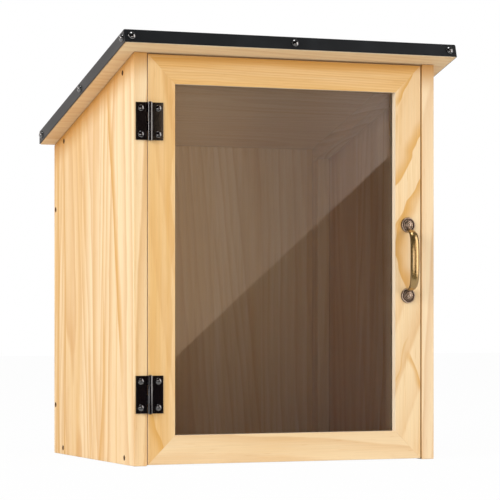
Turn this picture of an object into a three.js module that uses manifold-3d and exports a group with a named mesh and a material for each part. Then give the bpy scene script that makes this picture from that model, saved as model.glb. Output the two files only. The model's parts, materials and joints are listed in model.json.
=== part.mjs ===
// Street book exchange box: a pine cabinet with a sloped, metal-clad roof and one glazed door.
// Millimetres. X to the right, Y to the back, Z up from the middle of the base's underside.

import * as THREE from 'three';
import * as BufferGeometryUtils from 'three/addons/utils/BufferGeometryUtils.js';
import Module from 'manifold-3d';

const wasm = await Module();
wasm.setup();

// Cabinet boards
const boxWidth = 335;
const boxDepth = 260;
const frontHeight = 415;
const rearHeight = 338;
const sideThickness = 14;
const floorThickness = 14;
const backThickness = 10;
const cleatWidth = 15;
const cleatHeight = 15;
const postSize = 15;
const glueLine = 0.3;

// Roof
const deckThickness = 13.5;
const sideOverhang = 16;
const frontOverhang = 21;
const sheetThickness = 0.7;
const skirtHeight = 13.8;

// Door
const doorThickness = 15;
const memberWidth = 29;
const hingeSideGap = 0.8;
const catchSideGap = 2;
const doorFootGap = 1.2;
const doorHeadGap = 1.8;
const doorBackGap = 0.6;
const mitreGap = 0.4;
const revealDepth = 7.5;
const rebateWidth = 7;
const paneThickness = 3;
const paneEdgeGap = 1;

// Hinges
const hingeHeight = 38;
const hingeLeafWidth = 14.7;
const hingeLeafThickness = 1.2;
const hingeUpperInset = 67.4;
const hingeLowerInset = 70.5;
const hingeScrewReach = 9.3;
const hingeScrewRise = 13.2;
const knuckleCount = 4;
const knuckleGap = 0.3;
const barrelRadius = 2.5;
const barrelLift = 0.2;
const pinRadius = 1.2;
const pinHeadRadius = 1.9;
const pinHeadHeight = 0.8;
const pinOffset = 1.8;
const pinClearance = 0.3;

// Pull handle
const handleSpacing = 74;
const handleProjection = 17;
const handleHeightShare = 0.504;
const gripHalfWidth = 5.1;
const gripHalfThickness = 2.8;
const gripEndShare = 0.62;
const footRadius = 8;
const footHeight = 3;
const footRimHeight = 1.8;
const footBossRadius = 4.4;

// Magnetic catch and its strike plate
const catchWidth = 12;
const catchDepth = 14;
const catchHeight = 46;
const catchScrewRise = 15;
const catchAirGap = 0.5;
const catchHeightShare = 0.75;
const magnetWidth = 8;
const magnetDepth = 9;
const magnetHeight = 22;
const strikeWidth = 12;
const strikeHeight = 40;
const strikeThickness = 1.2;

// Screws: their own sizes
const trimScrew = { headRadius: 2.2, headHeight: 2, shankRadius: 1.2, length: 26, sunk: 0.8 };
const roofScrew = { headRadius: 4.2, headHeight: 2.6, shankRadius: 1.1, length: 6.2, sunk: 0 };
const hingeScrew = { headRadius: 3.3, headHeight: 1.2, shankRadius: 1.4, length: 12, sunk: 0 };
const handleScrew = { headRadius: 2.6, headHeight: 1.3, shankRadius: 1.5, length: 15, sunk: 0 };
const catchScrew = { headRadius: 2.8, headHeight: 1.4, shankRadius: 1.2, length: 22, sunk: 0 };
const strikeScrew = { headRadius: 2.8, headHeight: 1.6, shankRadius: 1.2, length: 8, sunk: 0.1 };
const screwClearance = 0.3;
const headSeat = 0.1;
const tipShare = 0.2;
const domeShares = [1, 0.8, 0.5, 0];
const overrun = 2;

// Where the screws sit, measured from the edges of the piece that they hold
const floorScrewFrontInset = 29.5;
const floorScrewRearInset = 31;
const cleatScrewFrontInset = 35;
const cleatScrewRearInset = 34;
const backScrewTopInset = 71;
const backScrewFootInset = 53;
const roofScrewInset = 8;

// Facets round a screw, a barrel and a handle foot
const screwSides = 12;
const barrelSides = 24;
const footSides = 28;
const gripSides = 12;
const gripSteps = 22;

// Worked out from the sizes above
const slope = Math.atan2(frontHeight - rearHeight, boxDepth);
const front = -boxDepth / 2;
const rear = boxDepth / 2;
const innerHalfWidth = boxWidth / 2 - sideThickness;
const backFace = rear - backThickness - glueLine;
const behindDoor = front + doorThickness + doorBackGap;
const doorLeft = -innerHalfWidth + hingeSideGap;
const doorWidth = innerHalfWidth * 2 - hingeSideGap - catchSideGap;
const doorHeight = frontHeight - doorHeadGap - doorFootGap;
const pinX = -innerHalfWidth + hingeSideGap / 2 + pinOffset;
const pinLift = barrelRadius + barrelLift;
const hingeHeights = {
  upper: doorFootGap + doorHeight - hingeUpperInset,
  lower: doorFootGap + hingeLowerInset,
};
const axisX = new THREE.Vector3(1, 0, 0);
const axisY = new THREE.Vector3(0, 1, 0);
const axisZ = new THREE.Vector3(0, 0, 1);

const finish = (look) => () => new THREE.MeshStandardMaterial(look);
const pine = finish({ color: 0xe6bd80, roughness: 0.62 });
const innerPine = finish({ color: 0xd9b078, roughness: 0.66 });
const roofMetal = finish({ color: 0x2b2c2e, roughness: 0.45, metalness: 0.6 });
const blackSteel = finish({ color: 0x1c1819, roughness: 0.35, metalness: 0.8 });
const brownSteel = finish({ color: 0x4a3222, roughness: 0.5, metalness: 0.7 });
const brass = finish({ color: 0xa98550, roughness: 0.3, metalness: 1 });
const zincSteel = finish({ color: 0xb9bcc0, roughness: 0.35, metalness: 0.9 });
const darkMagnet = finish({ color: 0x3b3d40, roughness: 0.6, metalness: 0.4 });
const catchPlastic = finish({ color: 0x6d4f36, roughness: 0.5 });
const clearPane = finish({ color: 0xe4eeec, roughness: 0.05, transparent: true, opacity: 0.3 });

const bookBox = new THREE.Group();

// Mesh work: geometry to solid and back, cuts, and plain shapes

function toSolid(geometry) {
  const bare = geometry.clone();
  bare.deleteAttribute('normal');
  bare.deleteAttribute('uv');
  const merged = BufferGeometryUtils.mergeVertices(bare);
  const vertProperties = merged.attributes.position.array;
  const triVerts = merged.index.array;
  return new wasm.Manifold(new wasm.Mesh({ numProp: 3, vertProperties, triVerts }));
}

function toGeometry(solid) {
  const mesh = solid.getMesh();
  const geometry = new THREE.BufferGeometry();
  geometry.setAttribute('position', new THREE.BufferAttribute(mesh.vertProperties, 3));
  geometry.setIndex(new THREE.BufferAttribute(mesh.triVerts, 1));
  geometry.computeVertexNormals();
  return geometry;
}

function cut(geometry, cutters) {
  let solid = toSolid(geometry);
  for (const cutter of cutters) {
    solid = solid.subtract(toSolid(cutter));
  }
  return toGeometry(solid);
}

function join(geometries) {
  const [first, ...others] = geometries.map(toSolid);
  return toGeometry(others.reduce((whole, piece) => whole.add(piece), first));
}

function block(low, high) {
  const size = high.map((value, i) => value - low[i]);
  const middle = high.map((value, i) => (value + low[i]) / 2);
  return new THREE.BoxGeometry(...size).translate(...middle);
}

// An outline of [y, z] points, drawn out along X
function alongX(outline, length) {
  const shape = new THREE.Shape(outline.map(([y, z]) => new THREE.Vector2(y, z)));
  const geometry = new THREE.ExtrudeGeometry(shape, { depth: length, bevelEnabled: false });
  return geometry.applyMatrix4(new THREE.Matrix4().makeBasis(axisY, axisZ, axisX));
}

// An outline of [x, z] points, drawn out along Y
function alongY(outline, length) {
  const shape = new THREE.Shape(outline.map(([x, z]) => new THREE.Vector2(x, z)));
  const geometry = new THREE.ExtrudeGeometry(shape, { depth: length, bevelEnabled: false });
  geometry.applyMatrix4(new THREE.Matrix4().makeBasis(axisX, axisZ, axisY.clone().negate()));
  return geometry.translate(0, length, 0);
}

// A profile of [radius, height] points, turned about Z
function turned(profile, sides) {
  const points = profile.map(([radius, height]) => new THREE.Vector2(radius, height));
  return new THREE.LatheGeometry(points, sides).rotateX(Math.PI / 2);
}

function addPiece(parent, name, geometry, material, position = [0, 0, 0]) {
  const mesh = new THREE.Mesh(geometry, material);
  mesh.name = name;
  mesh.position.set(...position);
  parent.add(mesh);
  return mesh;
}

// Screws: a screw stands on its seat with its head along its facing direction

function screwGeometry(size) {
  const { headRadius, headHeight, shankRadius, length, sunk } = size;
  const tip = [[0, -length], [shankRadius, -length * (1 - tipShare)]];
  if (sunk > 0) {
    const flatHead = [[shankRadius, -sunk - headHeight], [headRadius, -sunk], [0, -sunk]];
    return turned([...tip, ...flatHead], screwSides);
  }
  const dome = domeShares.map((share) => [
    headRadius * Math.sin(share * Math.PI / 2),
    headSeat + headHeight * Math.cos(share * Math.PI / 2),
  ]);
  return turned([...tip, [shankRadius, headSeat], ...dome], screwSides);
}

function screwBore(size) {
  const { headRadius, headHeight, shankRadius, length, sunk } = size;
  const radius = shankRadius + screwClearance;
  const foot = [[0, -length - screwClearance], [radius, -length - screwClearance]];
  if (sunk > 0) {
    const sinkRadius = headRadius + screwClearance;
    const sink = [[radius, -sunk - headHeight - screwClearance], [sinkRadius, -sunk - screwClearance]];
    return turned([...foot, ...sink, [sinkRadius, overrun], [0, overrun]], screwSides);
  }
  return turned([...foot, [radius, overrun], [0, overrun]], screwSides);
}

function screw(name, size, at, facing) {
  return { name, size, at: new THREE.Vector3(...at), facing: new THREE.Vector3(...facing) };
}

function boreFor(fixing, origin = [0, 0, 0]) {
  const turn = new THREE.Quaternion().setFromUnitVectors(axisZ, fixing.facing);
  const shift = fixing.at.clone().sub(new THREE.Vector3(...origin));
  return screwBore(fixing.size).applyQuaternion(turn).translate(shift.x, shift.y, shift.z);
}

function boresFor(fixings, origin) {
  return fixings.map((fixing) => boreFor(fixing, origin));
}

function addScrews(parent, fixings, material) {
  for (const { name, size, at, facing } of fixings) {
    const mesh = addPiece(parent, name, screwGeometry(size), material(), at.toArray());
    mesh.quaternion.setFromUnitVectors(axisZ, facing);
  }
}

// Cabinet

function underRoof(y) {
  return frontHeight - (y - front) * Math.tan(slope);
}

// The screws through one side panel; side is -1 on the left and 1 on the right
function sideScrews(side) {
  const label = side < 0 ? 'left' : 'right';
  const x = side * boxWidth / 2;
  const floorMiddle = floorThickness / 2;
  const cleatDrop = cleatHeight / 2 / Math.cos(slope);
  const places = {
    floor_front: [front + floorScrewFrontInset, floorMiddle],
    floor_rear: [rear - floorScrewRearInset, floorMiddle],
    cleat_front: [front + cleatScrewFrontInset, underRoof(front + cleatScrewFrontInset) - cleatDrop],
    cleat_rear: [rear - cleatScrewRearInset, underRoof(rear - cleatScrewRearInset) - cleatDrop],
  };
  return Object.entries(places).map(([place, [y, z]]) => (
    screw(`${label}_${place}_screw`, trimScrew, [x, y, z], [side, 0, 0])
  ));
}

function backScrews(side) {
  const label = side < 0 ? 'left' : 'right';
  const y = rear - backThickness / 2;
  const heights = { upper: rearHeight - backScrewTopInset, lower: backScrewFootInset };
  return Object.entries(heights).map(([place, z]) => (
    screw(`${label}_back_${place}_screw`, trimScrew, [side * boxWidth / 2, y, z], [side, 0, 0])
  ));
}

// The screws of one hinge, in its panel's edge (side -1) or in the door's stile (side 1)
function hingeScrews(place, side) {
  const label = side < 0 ? 'fixed' : 'door';
  const x = pinX + side * hingeScrewReach;
  const y = front - hingeLeafThickness;
  return [1, -1].map((end) => screw(
    `${place}_hinge_${label}_screw_${end > 0 ? 'top' : 'bottom'}`,
    hingeScrew, [x, y, hingeHeights[place] + end * hingeScrewRise], [0, -1, 0],
  ));
}

const catchMiddle = frontHeight * catchHeightShare;

function catchScrews() {
  const x = innerHalfWidth - glueLine - catchWidth;
  const y = behindDoor + strikeThickness + catchAirGap + catchDepth / 2;
  return [1, -1].map((end) => screw(
    `catch_screw_${end > 0 ? 'upper' : 'lower'}`,
    catchScrew, [x, y, catchMiddle + end * catchScrewRise], [-1, 0, 0],
  ));
}

function addSidePanel(side) {
  const outline = [[front, 0], [rear, 0], [rear, rearHeight], [front, frontHeight]];
  const origin = [side < 0 ? -boxWidth / 2 : boxWidth / 2 - sideThickness, 0, 0];
  const edgeFixings = side < 0
    ? [...hingeScrews('upper', side), ...hingeScrews('lower', side)]
    : catchScrews();
  const fixings = [...sideScrews(side), ...backScrews(side), ...edgeFixings];
  const panel = cut(alongX(outline, sideThickness), boresFor(fixings, origin));
  addPiece(bookBox, side < 0 ? 'left_side_panel' : 'right_side_panel', panel, pine(), origin);
}

function addFloor() {
  const halfWidth = innerHalfWidth - glueLine;
  const board = block([-halfWidth, behindDoor, 0], [halfWidth, backFace, floorThickness]);
  const fixings = [...sideScrews(-1), ...sideScrews(1)];
  addPiece(bookBox, 'floor_panel', cut(board, boresFor(fixings)), innerPine());
}

function addBack() {
  const halfWidth = innerHalfWidth - glueLine;
  const innerFace = rear - backThickness;
  const outline = [[innerFace, 0], [rear, 0], [rear, underRoof(rear)], [innerFace, underRoof(innerFace)]];
  const origin = [-halfWidth, 0, 0];
  const fixings = [...backScrews(-1), ...backScrews(1)];
  const board = cut(alongX(outline, halfWidth * 2), boresFor(fixings, origin));
  addPiece(bookBox, 'back_panel', board, innerPine(), origin);
}

// A cleat under the deck along one side panel, and the post below it in the rear corner
function addCleatAndPost(side) {
  const label = side < 0 ? 'left' : 'right';
  const under = (y) => underRoof(y) - cleatHeight / Math.cos(slope);
  const cleatFront = behindDoor;
  const cleatOutline = [
    [cleatFront, under(cleatFront)], [backFace, under(backFace)],
    [backFace, underRoof(backFace)], [cleatFront, underRoof(cleatFront)],
  ];
  const cleatX = side < 0 ? -innerHalfWidth + glueLine : innerHalfWidth - glueLine - cleatWidth;
  const cleatOrigin = [cleatX, 0, 0];
  const cleat = cut(alongX(cleatOutline, cleatWidth), boresFor(sideScrews(side), cleatOrigin));
  addPiece(bookBox, `${label}_roof_cleat`, cleat, innerPine(), cleatOrigin);

  const postFront = backFace - postSize;
  const postFoot = floorThickness + glueLine;
  const postOutline = [
    [postFront, postFoot], [backFace, postFoot],
    [backFace, under(backFace) - glueLine], [postFront, under(postFront) - glueLine],
  ];
  const postX = side < 0 ? -innerHalfWidth + glueLine : innerHalfWidth - glueLine - postSize;
  addPiece(bookBox, `${label}_rear_post`, alongX(postOutline, postSize), innerPine(), [postX, 0, 0]);
}

function addCatch() {
  const nearFace = behindDoor + strikeThickness + catchAirGap;
  const low = [innerHalfWidth - glueLine - catchWidth, nearFace, catchMiddle - catchHeight / 2];
  const high = [innerHalfWidth - glueLine, nearFace + catchDepth, catchMiddle + catchHeight / 2];
  const magnetX = (low[0] + high[0]) / 2;
  const magnetLow = [magnetX - magnetWidth / 2, nearFace, catchMiddle - magnetHeight / 2];
  const magnetHigh = [magnetX + magnetWidth / 2, nearFace + magnetDepth, catchMiddle + magnetHeight / 2];
  const pocket = block(
    [magnetLow[0] - glueLine, nearFace - overrun, magnetLow[2] - glueLine],
    magnetHigh.map((value) => value + glueLine),
  );
  const body = cut(block(low, high), [pocket, ...boresFor(catchScrews())]);
  addPiece(bookBox, 'catch_body', body, catchPlastic());
  addPiece(bookBox, 'catch_magnet', block(magnetLow, magnetHigh), darkMagnet());
  addScrews(bookBox, catchScrews(), zincSteel);
}

// Roof: the group's Y runs down the slope and its Z stands off the deck's underside

function addRoof() {
  const roof = new THREE.Group();
  roof.position.set(0, front, frontHeight);
  roof.rotation.x = -slope;
  bookBox.add(roof);

  const rearEnd = (z) => (boxDepth - z * Math.sin(slope)) / Math.cos(slope);
  const deckFoot = glueLine;
  const deckTop = deckFoot + deckThickness;
  const sheetFoot = deckTop + glueLine;
  const sheetTop = sheetFoot + sheetThickness;
  const deckHalfWidth = boxWidth / 2 + sideOverhang;
  const sheetHalfWidth = deckHalfWidth + glueLine + sheetThickness;
  const sheetFront = -frontOverhang - glueLine - sheetThickness;
  const skirtFoot = sheetTop - skirtHeight;
  const fixings = roofScrews(sheetHalfWidth, sheetFront, rearEnd, (skirtFoot + sheetTop) / 2);

  const deckOutline = [
    [-frontOverhang, deckFoot], [rearEnd(deckFoot), deckFoot],
    [rearEnd(deckTop), deckTop], [-frontOverhang, deckTop],
  ];
  const deckOrigin = [-deckHalfWidth, 0, 0];
  const deck = cut(alongX(deckOutline, deckHalfWidth * 2), boresFor(fixings, deckOrigin));
  addPiece(roof, 'roof_deck', deck, pine(), deckOrigin);

  const sheetOutline = [
    [sheetFront, skirtFoot], [rearEnd(skirtFoot), skirtFoot],
    [rearEnd(sheetTop), sheetTop], [sheetFront, sheetTop],
  ];
  const sheetOrigin = [-sheetHalfWidth, 0, 0];
  const hollow = block(
    [sheetThickness, -frontOverhang - glueLine, skirtFoot - overrun],
    [sheetHalfWidth * 2 - sheetThickness, rearEnd(skirtFoot) + overrun, sheetFoot],
  );
  const sheet = cut(alongX(sheetOutline, sheetHalfWidth * 2), [hollow, ...boresFor(fixings, sheetOrigin)]);
  addPiece(roof, 'roof_sheet', sheet, roofMetal(), sheetOrigin);
  addScrews(roof, fixings, blackSteel);
}

function roofScrews(halfWidth, frontFace, rearEnd, z) {
  const across = { left: -halfWidth + roofScrewInset, middle: 0, right: halfWidth - roofScrewInset };
  const first = frontFace + roofScrewInset;
  const last = rearEnd(z) - roofScrewInset;
  const down = { front: first, middle: (first + last) / 2, rear: last };
  const fixings = Object.entries(across).map(([place, x]) => (
    screw(`roof_front_screw_${place}`, roofScrew, [x, frontFace, z], [0, -1, 0])
  ));
  for (const side of [-1, 1]) {
    const label = side < 0 ? 'left' : 'right';
    for (const [place, y] of Object.entries(down)) {
      const at = [side * halfWidth, y, z];
      fixings.push(screw(`roof_${label}_screw_${place}`, roofScrew, at, [side, 0, 0]));
    }
  }
  return fixings;
}

// Door: the group's origin is the closed leaf's lower left front corner

// Four mitred members round a window, each drawn from y = 0 back to its depth
function mitredFrame(low, high, width, depth) {
  const [left, foot] = low;
  const [right, head] = high;
  const inner = { left: left + width, right: right - width, foot: foot + width, head: head - width };
  const railLeft = left + mitreGap;
  const railRight = right - mitreGap;
  const outlines = {
    bottom: [[railLeft, foot], [railRight, foot], [inner.right - mitreGap, inner.foot],
      [inner.left + mitreGap, inner.foot]],
    top: [[railLeft, head], [inner.left + mitreGap, inner.head], [inner.right - mitreGap, inner.head],
      [railRight, head]],
    left: [[left, foot], [inner.left, inner.foot], [inner.left, inner.head], [left, head]],
    right: [[right, foot], [right, head], [inner.right, inner.head], [inner.right, inner.foot]],
  };
  const entries = Object.entries(outlines).map(([place, outline]) => [place, alongY(outline, depth)]);
  return Object.fromEntries(entries);
}

const stileMiddle = doorWidth - memberWidth / 2;
const handleMiddle = doorHeight * handleHeightShare;

function handleScrews() {
  return [1, -1].map((end) => screw(
    `handle_screw_${end > 0 ? 'upper' : 'lower'}`, handleScrew,
    [stileMiddle, -footHeight, handleMiddle + end * handleSpacing / 2], [0, -1, 0],
  ));
}

const strikeX = doorWidth - (memberWidth - rebateWidth) / 2;

function strikeScrewList() {
  const at = [strikeX, doorThickness + strikeThickness, catchMiddle - doorFootGap];
  return [screw('strike_screw', strikeScrew, at, [0, 1, 0])];
}

function addDoorFrame(door) {
  const members = mitredFrame([0, 0], [doorWidth, doorHeight], memberWidth, doorThickness);
  const rebateInset = memberWidth - rebateWidth;
  const rebate = block(
    [rebateInset, revealDepth, rebateInset],
    [doorWidth - rebateInset, doorThickness + overrun, doorHeight - rebateInset],
  );
  const headAt = (y) => doorHeight - y * Math.tan(slope);
  const bevelOutline = [
    [-overrun, headAt(-overrun)], [doorThickness + overrun, headAt(doorThickness + overrun)],
    [doorThickness + overrun, headAt(-overrun) + overrun], [-overrun, headAt(-overrun) + overrun],
  ];
  const bevel = alongX(bevelOutline, doorWidth + overrun * 2).translate(-overrun, 0, 0);
  const toDoor = [doorLeft, front, doorFootGap];
  const hingeBores = boresFor([...hingeScrews('upper', 1), ...hingeScrews('lower', 1)], toDoor);
  const bores = [...hingeBores, ...boresFor([...handleScrews(), ...strikeScrewList()])];
  const names = {
    top: 'door_top_rail', bottom: 'door_bottom_rail', left: 'door_left_stile', right: 'door_right_stile',
  };
  for (const [place, geometry] of Object.entries(members)) {
    addPiece(door, names[place], cut(geometry, [rebate, bevel, ...bores]), pine());
  }
}

function addGlazing(door) {
  const paneInset = memberWidth - rebateWidth + paneEdgeGap;
  const paneFront = revealDepth + glueLine;
  const paneBack = paneFront + paneThickness;
  const pane = block(
    [paneInset, paneFront, paneInset],
    [doorWidth - paneInset, paneBack, doorHeight - paneInset],
  );
  addPiece(door, 'glazing_pane', pane, clearPane());

  const beadInset = memberWidth - rebateWidth + glueLine;
  const beadFront = paneBack + glueLine;
  const beads = mitredFrame(
    [beadInset, beadInset], [doorWidth - beadInset, doorHeight - beadInset],
    rebateWidth - glueLine, doorThickness - beadFront,
  );
  for (const [place, geometry] of Object.entries(beads)) {
    addPiece(door, `glazing_bead_${place}`, geometry, innerPine(), [0, beadFront, 0]);
  }
}

function footGeometry() {
  const profile = [
    [0, 0], [footRadius, 0], [footRadius, footRimHeight], [footBossRadius, footRimHeight],
    [footBossRadius, footHeight], [0, footHeight],
  ];
  return turned(profile, footSides).rotateX(Math.PI / 2);
}

// The grip: a flattened bar that bows out from the feet and is fullest at its middle
function gripGeometry() {
  const reach = handleSpacing / 2;
  const pathShares = [[0.04, 0.83], [0.38, 0.82], [0.72, 0.71], [0.9, 0.5], [0.98, 0.25], [1, 0]];
  const half = pathShares.map(([out, up]) => new THREE.Vector3(0, -out * handleProjection, up * reach));
  const otherHalf = half.slice(0, -1).reverse().map((point) => new THREE.Vector3(0, point.y, -point.z));
  const path = new THREE.CatmullRomCurve3([...half, ...otherHalf]);
  const bar = new THREE.CylinderGeometry(1, 1, 1, gripSides, gripSteps);
  const position = bar.attributes.position;
  for (let i = 0; i < position.count; i += 1) {
    const along = Math.min(Math.max(position.getY(i) + 1 / 2, 0), 1);
    const centre = path.getPointAt(along);
    const tangent = path.getTangentAt(along);
    const outward = new THREE.Vector3().crossVectors(axisX, tangent);
    const fullness = gripEndShare + (1 - gripEndShare) * Math.sin(along * Math.PI);
    centre.addScaledVector(axisX, position.getX(i) * gripHalfWidth * fullness);
    centre.addScaledVector(outward, position.getZ(i) * gripHalfThickness * fullness);
    position.setXYZ(i, ...centre.toArray());
  }
  return bar;
}

function addHandle(door) {
  const feet = [1, -1].map((end) => footGeometry().translate(0, 0, end * handleSpacing / 2));
  const origin = [stileMiddle, 0, handleMiddle];
  const behindFoot = block(
    [-footRadius - overrun, 0, -handleSpacing], [footRadius + overrun, handleProjection, handleSpacing],
  );
  const handle = cut(join([gripGeometry(), ...feet]), [behindFoot, ...boresFor(handleScrews(), origin)]);
  addPiece(door, 'door_handle', handle, brass(), origin);
  addScrews(door, handleScrews(), brass);
}

function addStrike(door) {
  const low = [strikeX - strikeWidth / 2, doorThickness, catchMiddle - doorFootGap - strikeHeight / 2];
  const high = [low[0] + strikeWidth, doorThickness + strikeThickness, low[2] + strikeHeight];
  addPiece(door, 'strike_plate', cut(block(low, high), boresFor(strikeScrewList())), zincSteel());
  addScrews(door, strikeScrewList(), zincSteel);
}

// Hinges: a leaf's frame has its origin on the pin's axis at the hinge's mid height

function knuckle(index) {
  const pitch = (hingeHeight + knuckleGap) / knuckleCount;
  const foot = -hingeHeight / 2 + index * pitch;
  const head = foot + pitch - knuckleGap;
  return { foot, head };
}

// side is -1 for the leaf on the cabinet and 1 for the leaf on the door
function hingeLeaf(side) {
  const plateBack = pinLift;
  const plateFront = pinLift - hingeLeafThickness;
  const clear = barrelRadius + pinClearance;
  const span = [side * clear, side * hingeLeafWidth].sort((a, b) => a - b);
  const parts = [block(
    [span[0], plateFront, -hingeHeight / 2], [span[1], plateBack, hingeHeight / 2],
  )];
  const own = side < 0 ? 1 : 0;
  for (let index = own; index < knuckleCount; index += 2) {
    const { foot, head } = knuckle(index);
    const ring = [[0, foot], [barrelRadius, foot], [barrelRadius, head], [0, head]];
    parts.push(turned(ring, barrelSides));
    const tab = [0, side * (clear + overrun)].sort((a, b) => a - b);
    parts.push(block([tab[0], plateFront, foot], [tab[1], plateBack, head]));
  }
  const reach = hingeHeight / 2 + overrun;
  const boreRadius = pinRadius + pinClearance;
  const bore = turned([[0, -reach], [boreRadius, -reach], [boreRadius, reach], [0, reach]], barrelSides);
  return { plate: join(parts), bore };
}

function addHinge(place, door) {
  const z = hingeHeights[place];
  const origin = [pinX, front - pinLift, z];
  const shift = new THREE.Vector3(...origin).sub(new THREE.Vector3(doorLeft, front, doorFootGap));
  for (const side of [-1, 1]) {
    const { plate, bore } = hingeLeaf(side);
    const leaf = cut(plate, [bore, ...boresFor(hingeScrews(place, side), origin)]);
    const parent = side < 0 ? bookBox : door;
    const label = side < 0 ? 'fixed' : 'door';
    const at = side < 0 ? origin : shift.toArray();
    addPiece(parent, `${place}_hinge_${label}_leaf`, leaf, blackSteel(), at);
  }
  addScrews(bookBox, hingeScrews(place, -1), blackSteel);
  const doorFixings = hingeScrews(place, 1).map((fixing) => (
    { ...fixing, at: fixing.at.clone().sub(new THREE.Vector3(doorLeft, front, doorFootGap)) }
  ));
  addScrews(door, doorFixings, blackSteel);

  const end = hingeHeight / 2 + headSeat;
  const pin = turned([
    [0, -end - pinHeadHeight], [pinHeadRadius, -end - pinHeadHeight], [pinHeadRadius, -end],
    [pinRadius, -end], [pinRadius, end], [pinHeadRadius, end],
    [pinHeadRadius, end + pinHeadHeight], [0, end + pinHeadHeight],
  ], barrelSides);
  addPiece(bookBox, `${place}_hinge_pin`, pin, blackSteel(), origin);
}

function addDoor() {
  const door = new THREE.Group();
  door.position.set(doorLeft, front, doorFootGap);
  bookBox.add(door);
  addDoorFrame(door);
  addGlazing(door);
  addHandle(door);
  addStrike(door);
  addHinge('upper', door);
  addHinge('lower', door);
}

for (const side of [-1, 1]) {
  addSidePanel(side);
  addCleatAndPost(side);
  addScrews(bookBox, sideScrews(side), brownSteel);
}
addFloor();
addBack();
addCatch();
addRoof();
addDoor();

export default bookBox;
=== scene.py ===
# %% [markdown]
# # A street book exchange box
#
# The box is a small pine cabinet with a metal-clad lean-to roof and one glazed door.
# Its exact solids come from a packed CAD model, which gives every piece its place.
# This notebook remakes each piece with the softer edges, folds and finishes that the real one has.
# The first cell loads the solids. Everything after it is measured from them, in metres.

# %% Load the packed model
import json
import math
import random

import bpy
from mathutils import Euler, Matrix, Vector

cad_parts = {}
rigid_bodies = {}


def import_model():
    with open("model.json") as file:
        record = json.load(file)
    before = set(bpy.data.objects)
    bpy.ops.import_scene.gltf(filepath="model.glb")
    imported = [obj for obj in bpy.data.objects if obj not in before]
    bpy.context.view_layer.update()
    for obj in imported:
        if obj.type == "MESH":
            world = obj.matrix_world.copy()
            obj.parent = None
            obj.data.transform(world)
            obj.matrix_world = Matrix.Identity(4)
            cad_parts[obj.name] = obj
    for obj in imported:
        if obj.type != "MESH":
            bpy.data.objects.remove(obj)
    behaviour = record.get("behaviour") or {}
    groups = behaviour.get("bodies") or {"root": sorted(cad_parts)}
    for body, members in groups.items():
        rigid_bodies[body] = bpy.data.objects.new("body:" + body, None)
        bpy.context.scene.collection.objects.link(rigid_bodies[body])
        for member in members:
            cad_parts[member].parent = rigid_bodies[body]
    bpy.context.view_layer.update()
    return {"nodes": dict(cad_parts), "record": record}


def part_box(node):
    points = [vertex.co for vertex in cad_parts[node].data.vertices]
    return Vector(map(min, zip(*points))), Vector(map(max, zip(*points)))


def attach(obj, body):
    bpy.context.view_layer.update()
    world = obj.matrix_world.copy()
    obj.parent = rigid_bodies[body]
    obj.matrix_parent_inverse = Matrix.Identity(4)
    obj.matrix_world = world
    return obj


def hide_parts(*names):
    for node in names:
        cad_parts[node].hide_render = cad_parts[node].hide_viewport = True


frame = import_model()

# %% [markdown]
# ## What the solids say
#
# A sloped roof is easier to build flat and then tilt, so the slope has to be known first.
# It could be typed as an angle, but then a change to the cabinet would leave the roof behind.
# Here it is read from the left side board: its top falls from the front edge to the rear edge.
# The record says which body each piece moves with and which finish it takes.

# %% Measure the slope
MM = 0.001
HAIR = 0.01 * MM

side_low, side_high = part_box("left_side_panel")
FRONT, REAR = side_low.y, side_high.y
FRONT_HEIGHT = side_high.z
side_points = [vertex.co for vertex in frame["nodes"]["left_side_panel"].data.vertices]
REAR_HEIGHT = max(point.z for point in side_points if point.y > REAR - HAIR)
SLOPE = math.atan2(FRONT_HEIGHT - REAR_HEIGHT, REAR - FRONT)
EAVE = Vector((0, FRONT, FRONT_HEIGHT))
ROOF_TURN = Matrix.Translation(EAVE) @ Matrix.Rotation(-SLOPE, 4, "X")
UP_THE_ROOF = Vector((0, math.sin(SLOPE), math.cos(SLOPE)))
print(f"the roof falls {math.degrees(SLOPE):.2f} degrees over {(REAR - FRONT) / MM:.0f} mm")

# %% List the homes of the pieces
homes = {node: body for body, nodes in frame["record"]["behaviour"]["bodies"].items() for node in nodes}


def local_box(node, turn=Matrix.Identity(4)):
    """The lowest and highest corners of a node, seen in a frame that is moved and turned."""
    back = turn.inverted()
    points = [back @ vertex.co for vertex in frame["nodes"][node].data.vertices]
    return Vector(map(min, zip(*points))), Vector(map(max, zip(*points)))


print(len(homes), "nodes ride on the bodies", sorted(set(homes.values())))

# %% [markdown]
# ## Working as by hand
#
# Blender's edit mode works on what is selected, and each new primitive arrives selected all over.
# So these helpers first clear the selection and then pick faces, edges or points by where they are.
# A face is picked by the way it looks: its normal is compared with a direction.

# %% Pick and put down
LEFT, RIGHT = (-1, 0, 0), (1, 0, 0)
FORWARD, BACKWARD = (0, -1, 0), (0, 1, 0)
UP, DOWN = (0, 0, 1), (0, 0, -1)
LOOKS_SHARE = 0.5


def hold(piece):
    """Make one piece the active and only selected object."""
    bpy.ops.object.select_all(action="DESELECT")
    piece.select_set(True)
    bpy.context.view_layer.objects.active = piece


def pick(piece, kind, wanted):
    """Open edit mode with the points, edges or faces selected that pass a test of their place."""
    hold(piece)
    bpy.context.tool_settings.mesh_select_mode = [kind == each for each in ("point", "edge", "face")]
    mesh = piece.data
    for part in (*mesh.vertices, *mesh.edges, *mesh.polygons):
        part.select = False
    if kind == "point":
        for vertex in mesh.vertices:
            vertex.select = wanted(vertex.co)
    if kind == "edge":
        for edge in mesh.edges:
            edge.select = wanted(*(mesh.vertices[i].co for i in edge.vertices))
    if kind == "face":
        for face in mesh.polygons:
            face.select = wanted(face.center, face.normal)
    bpy.ops.object.mode_set(mode="EDIT")


def put_down():
    bpy.ops.object.mode_set(mode="OBJECT")


def everywhere(*_):
    return True


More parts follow.
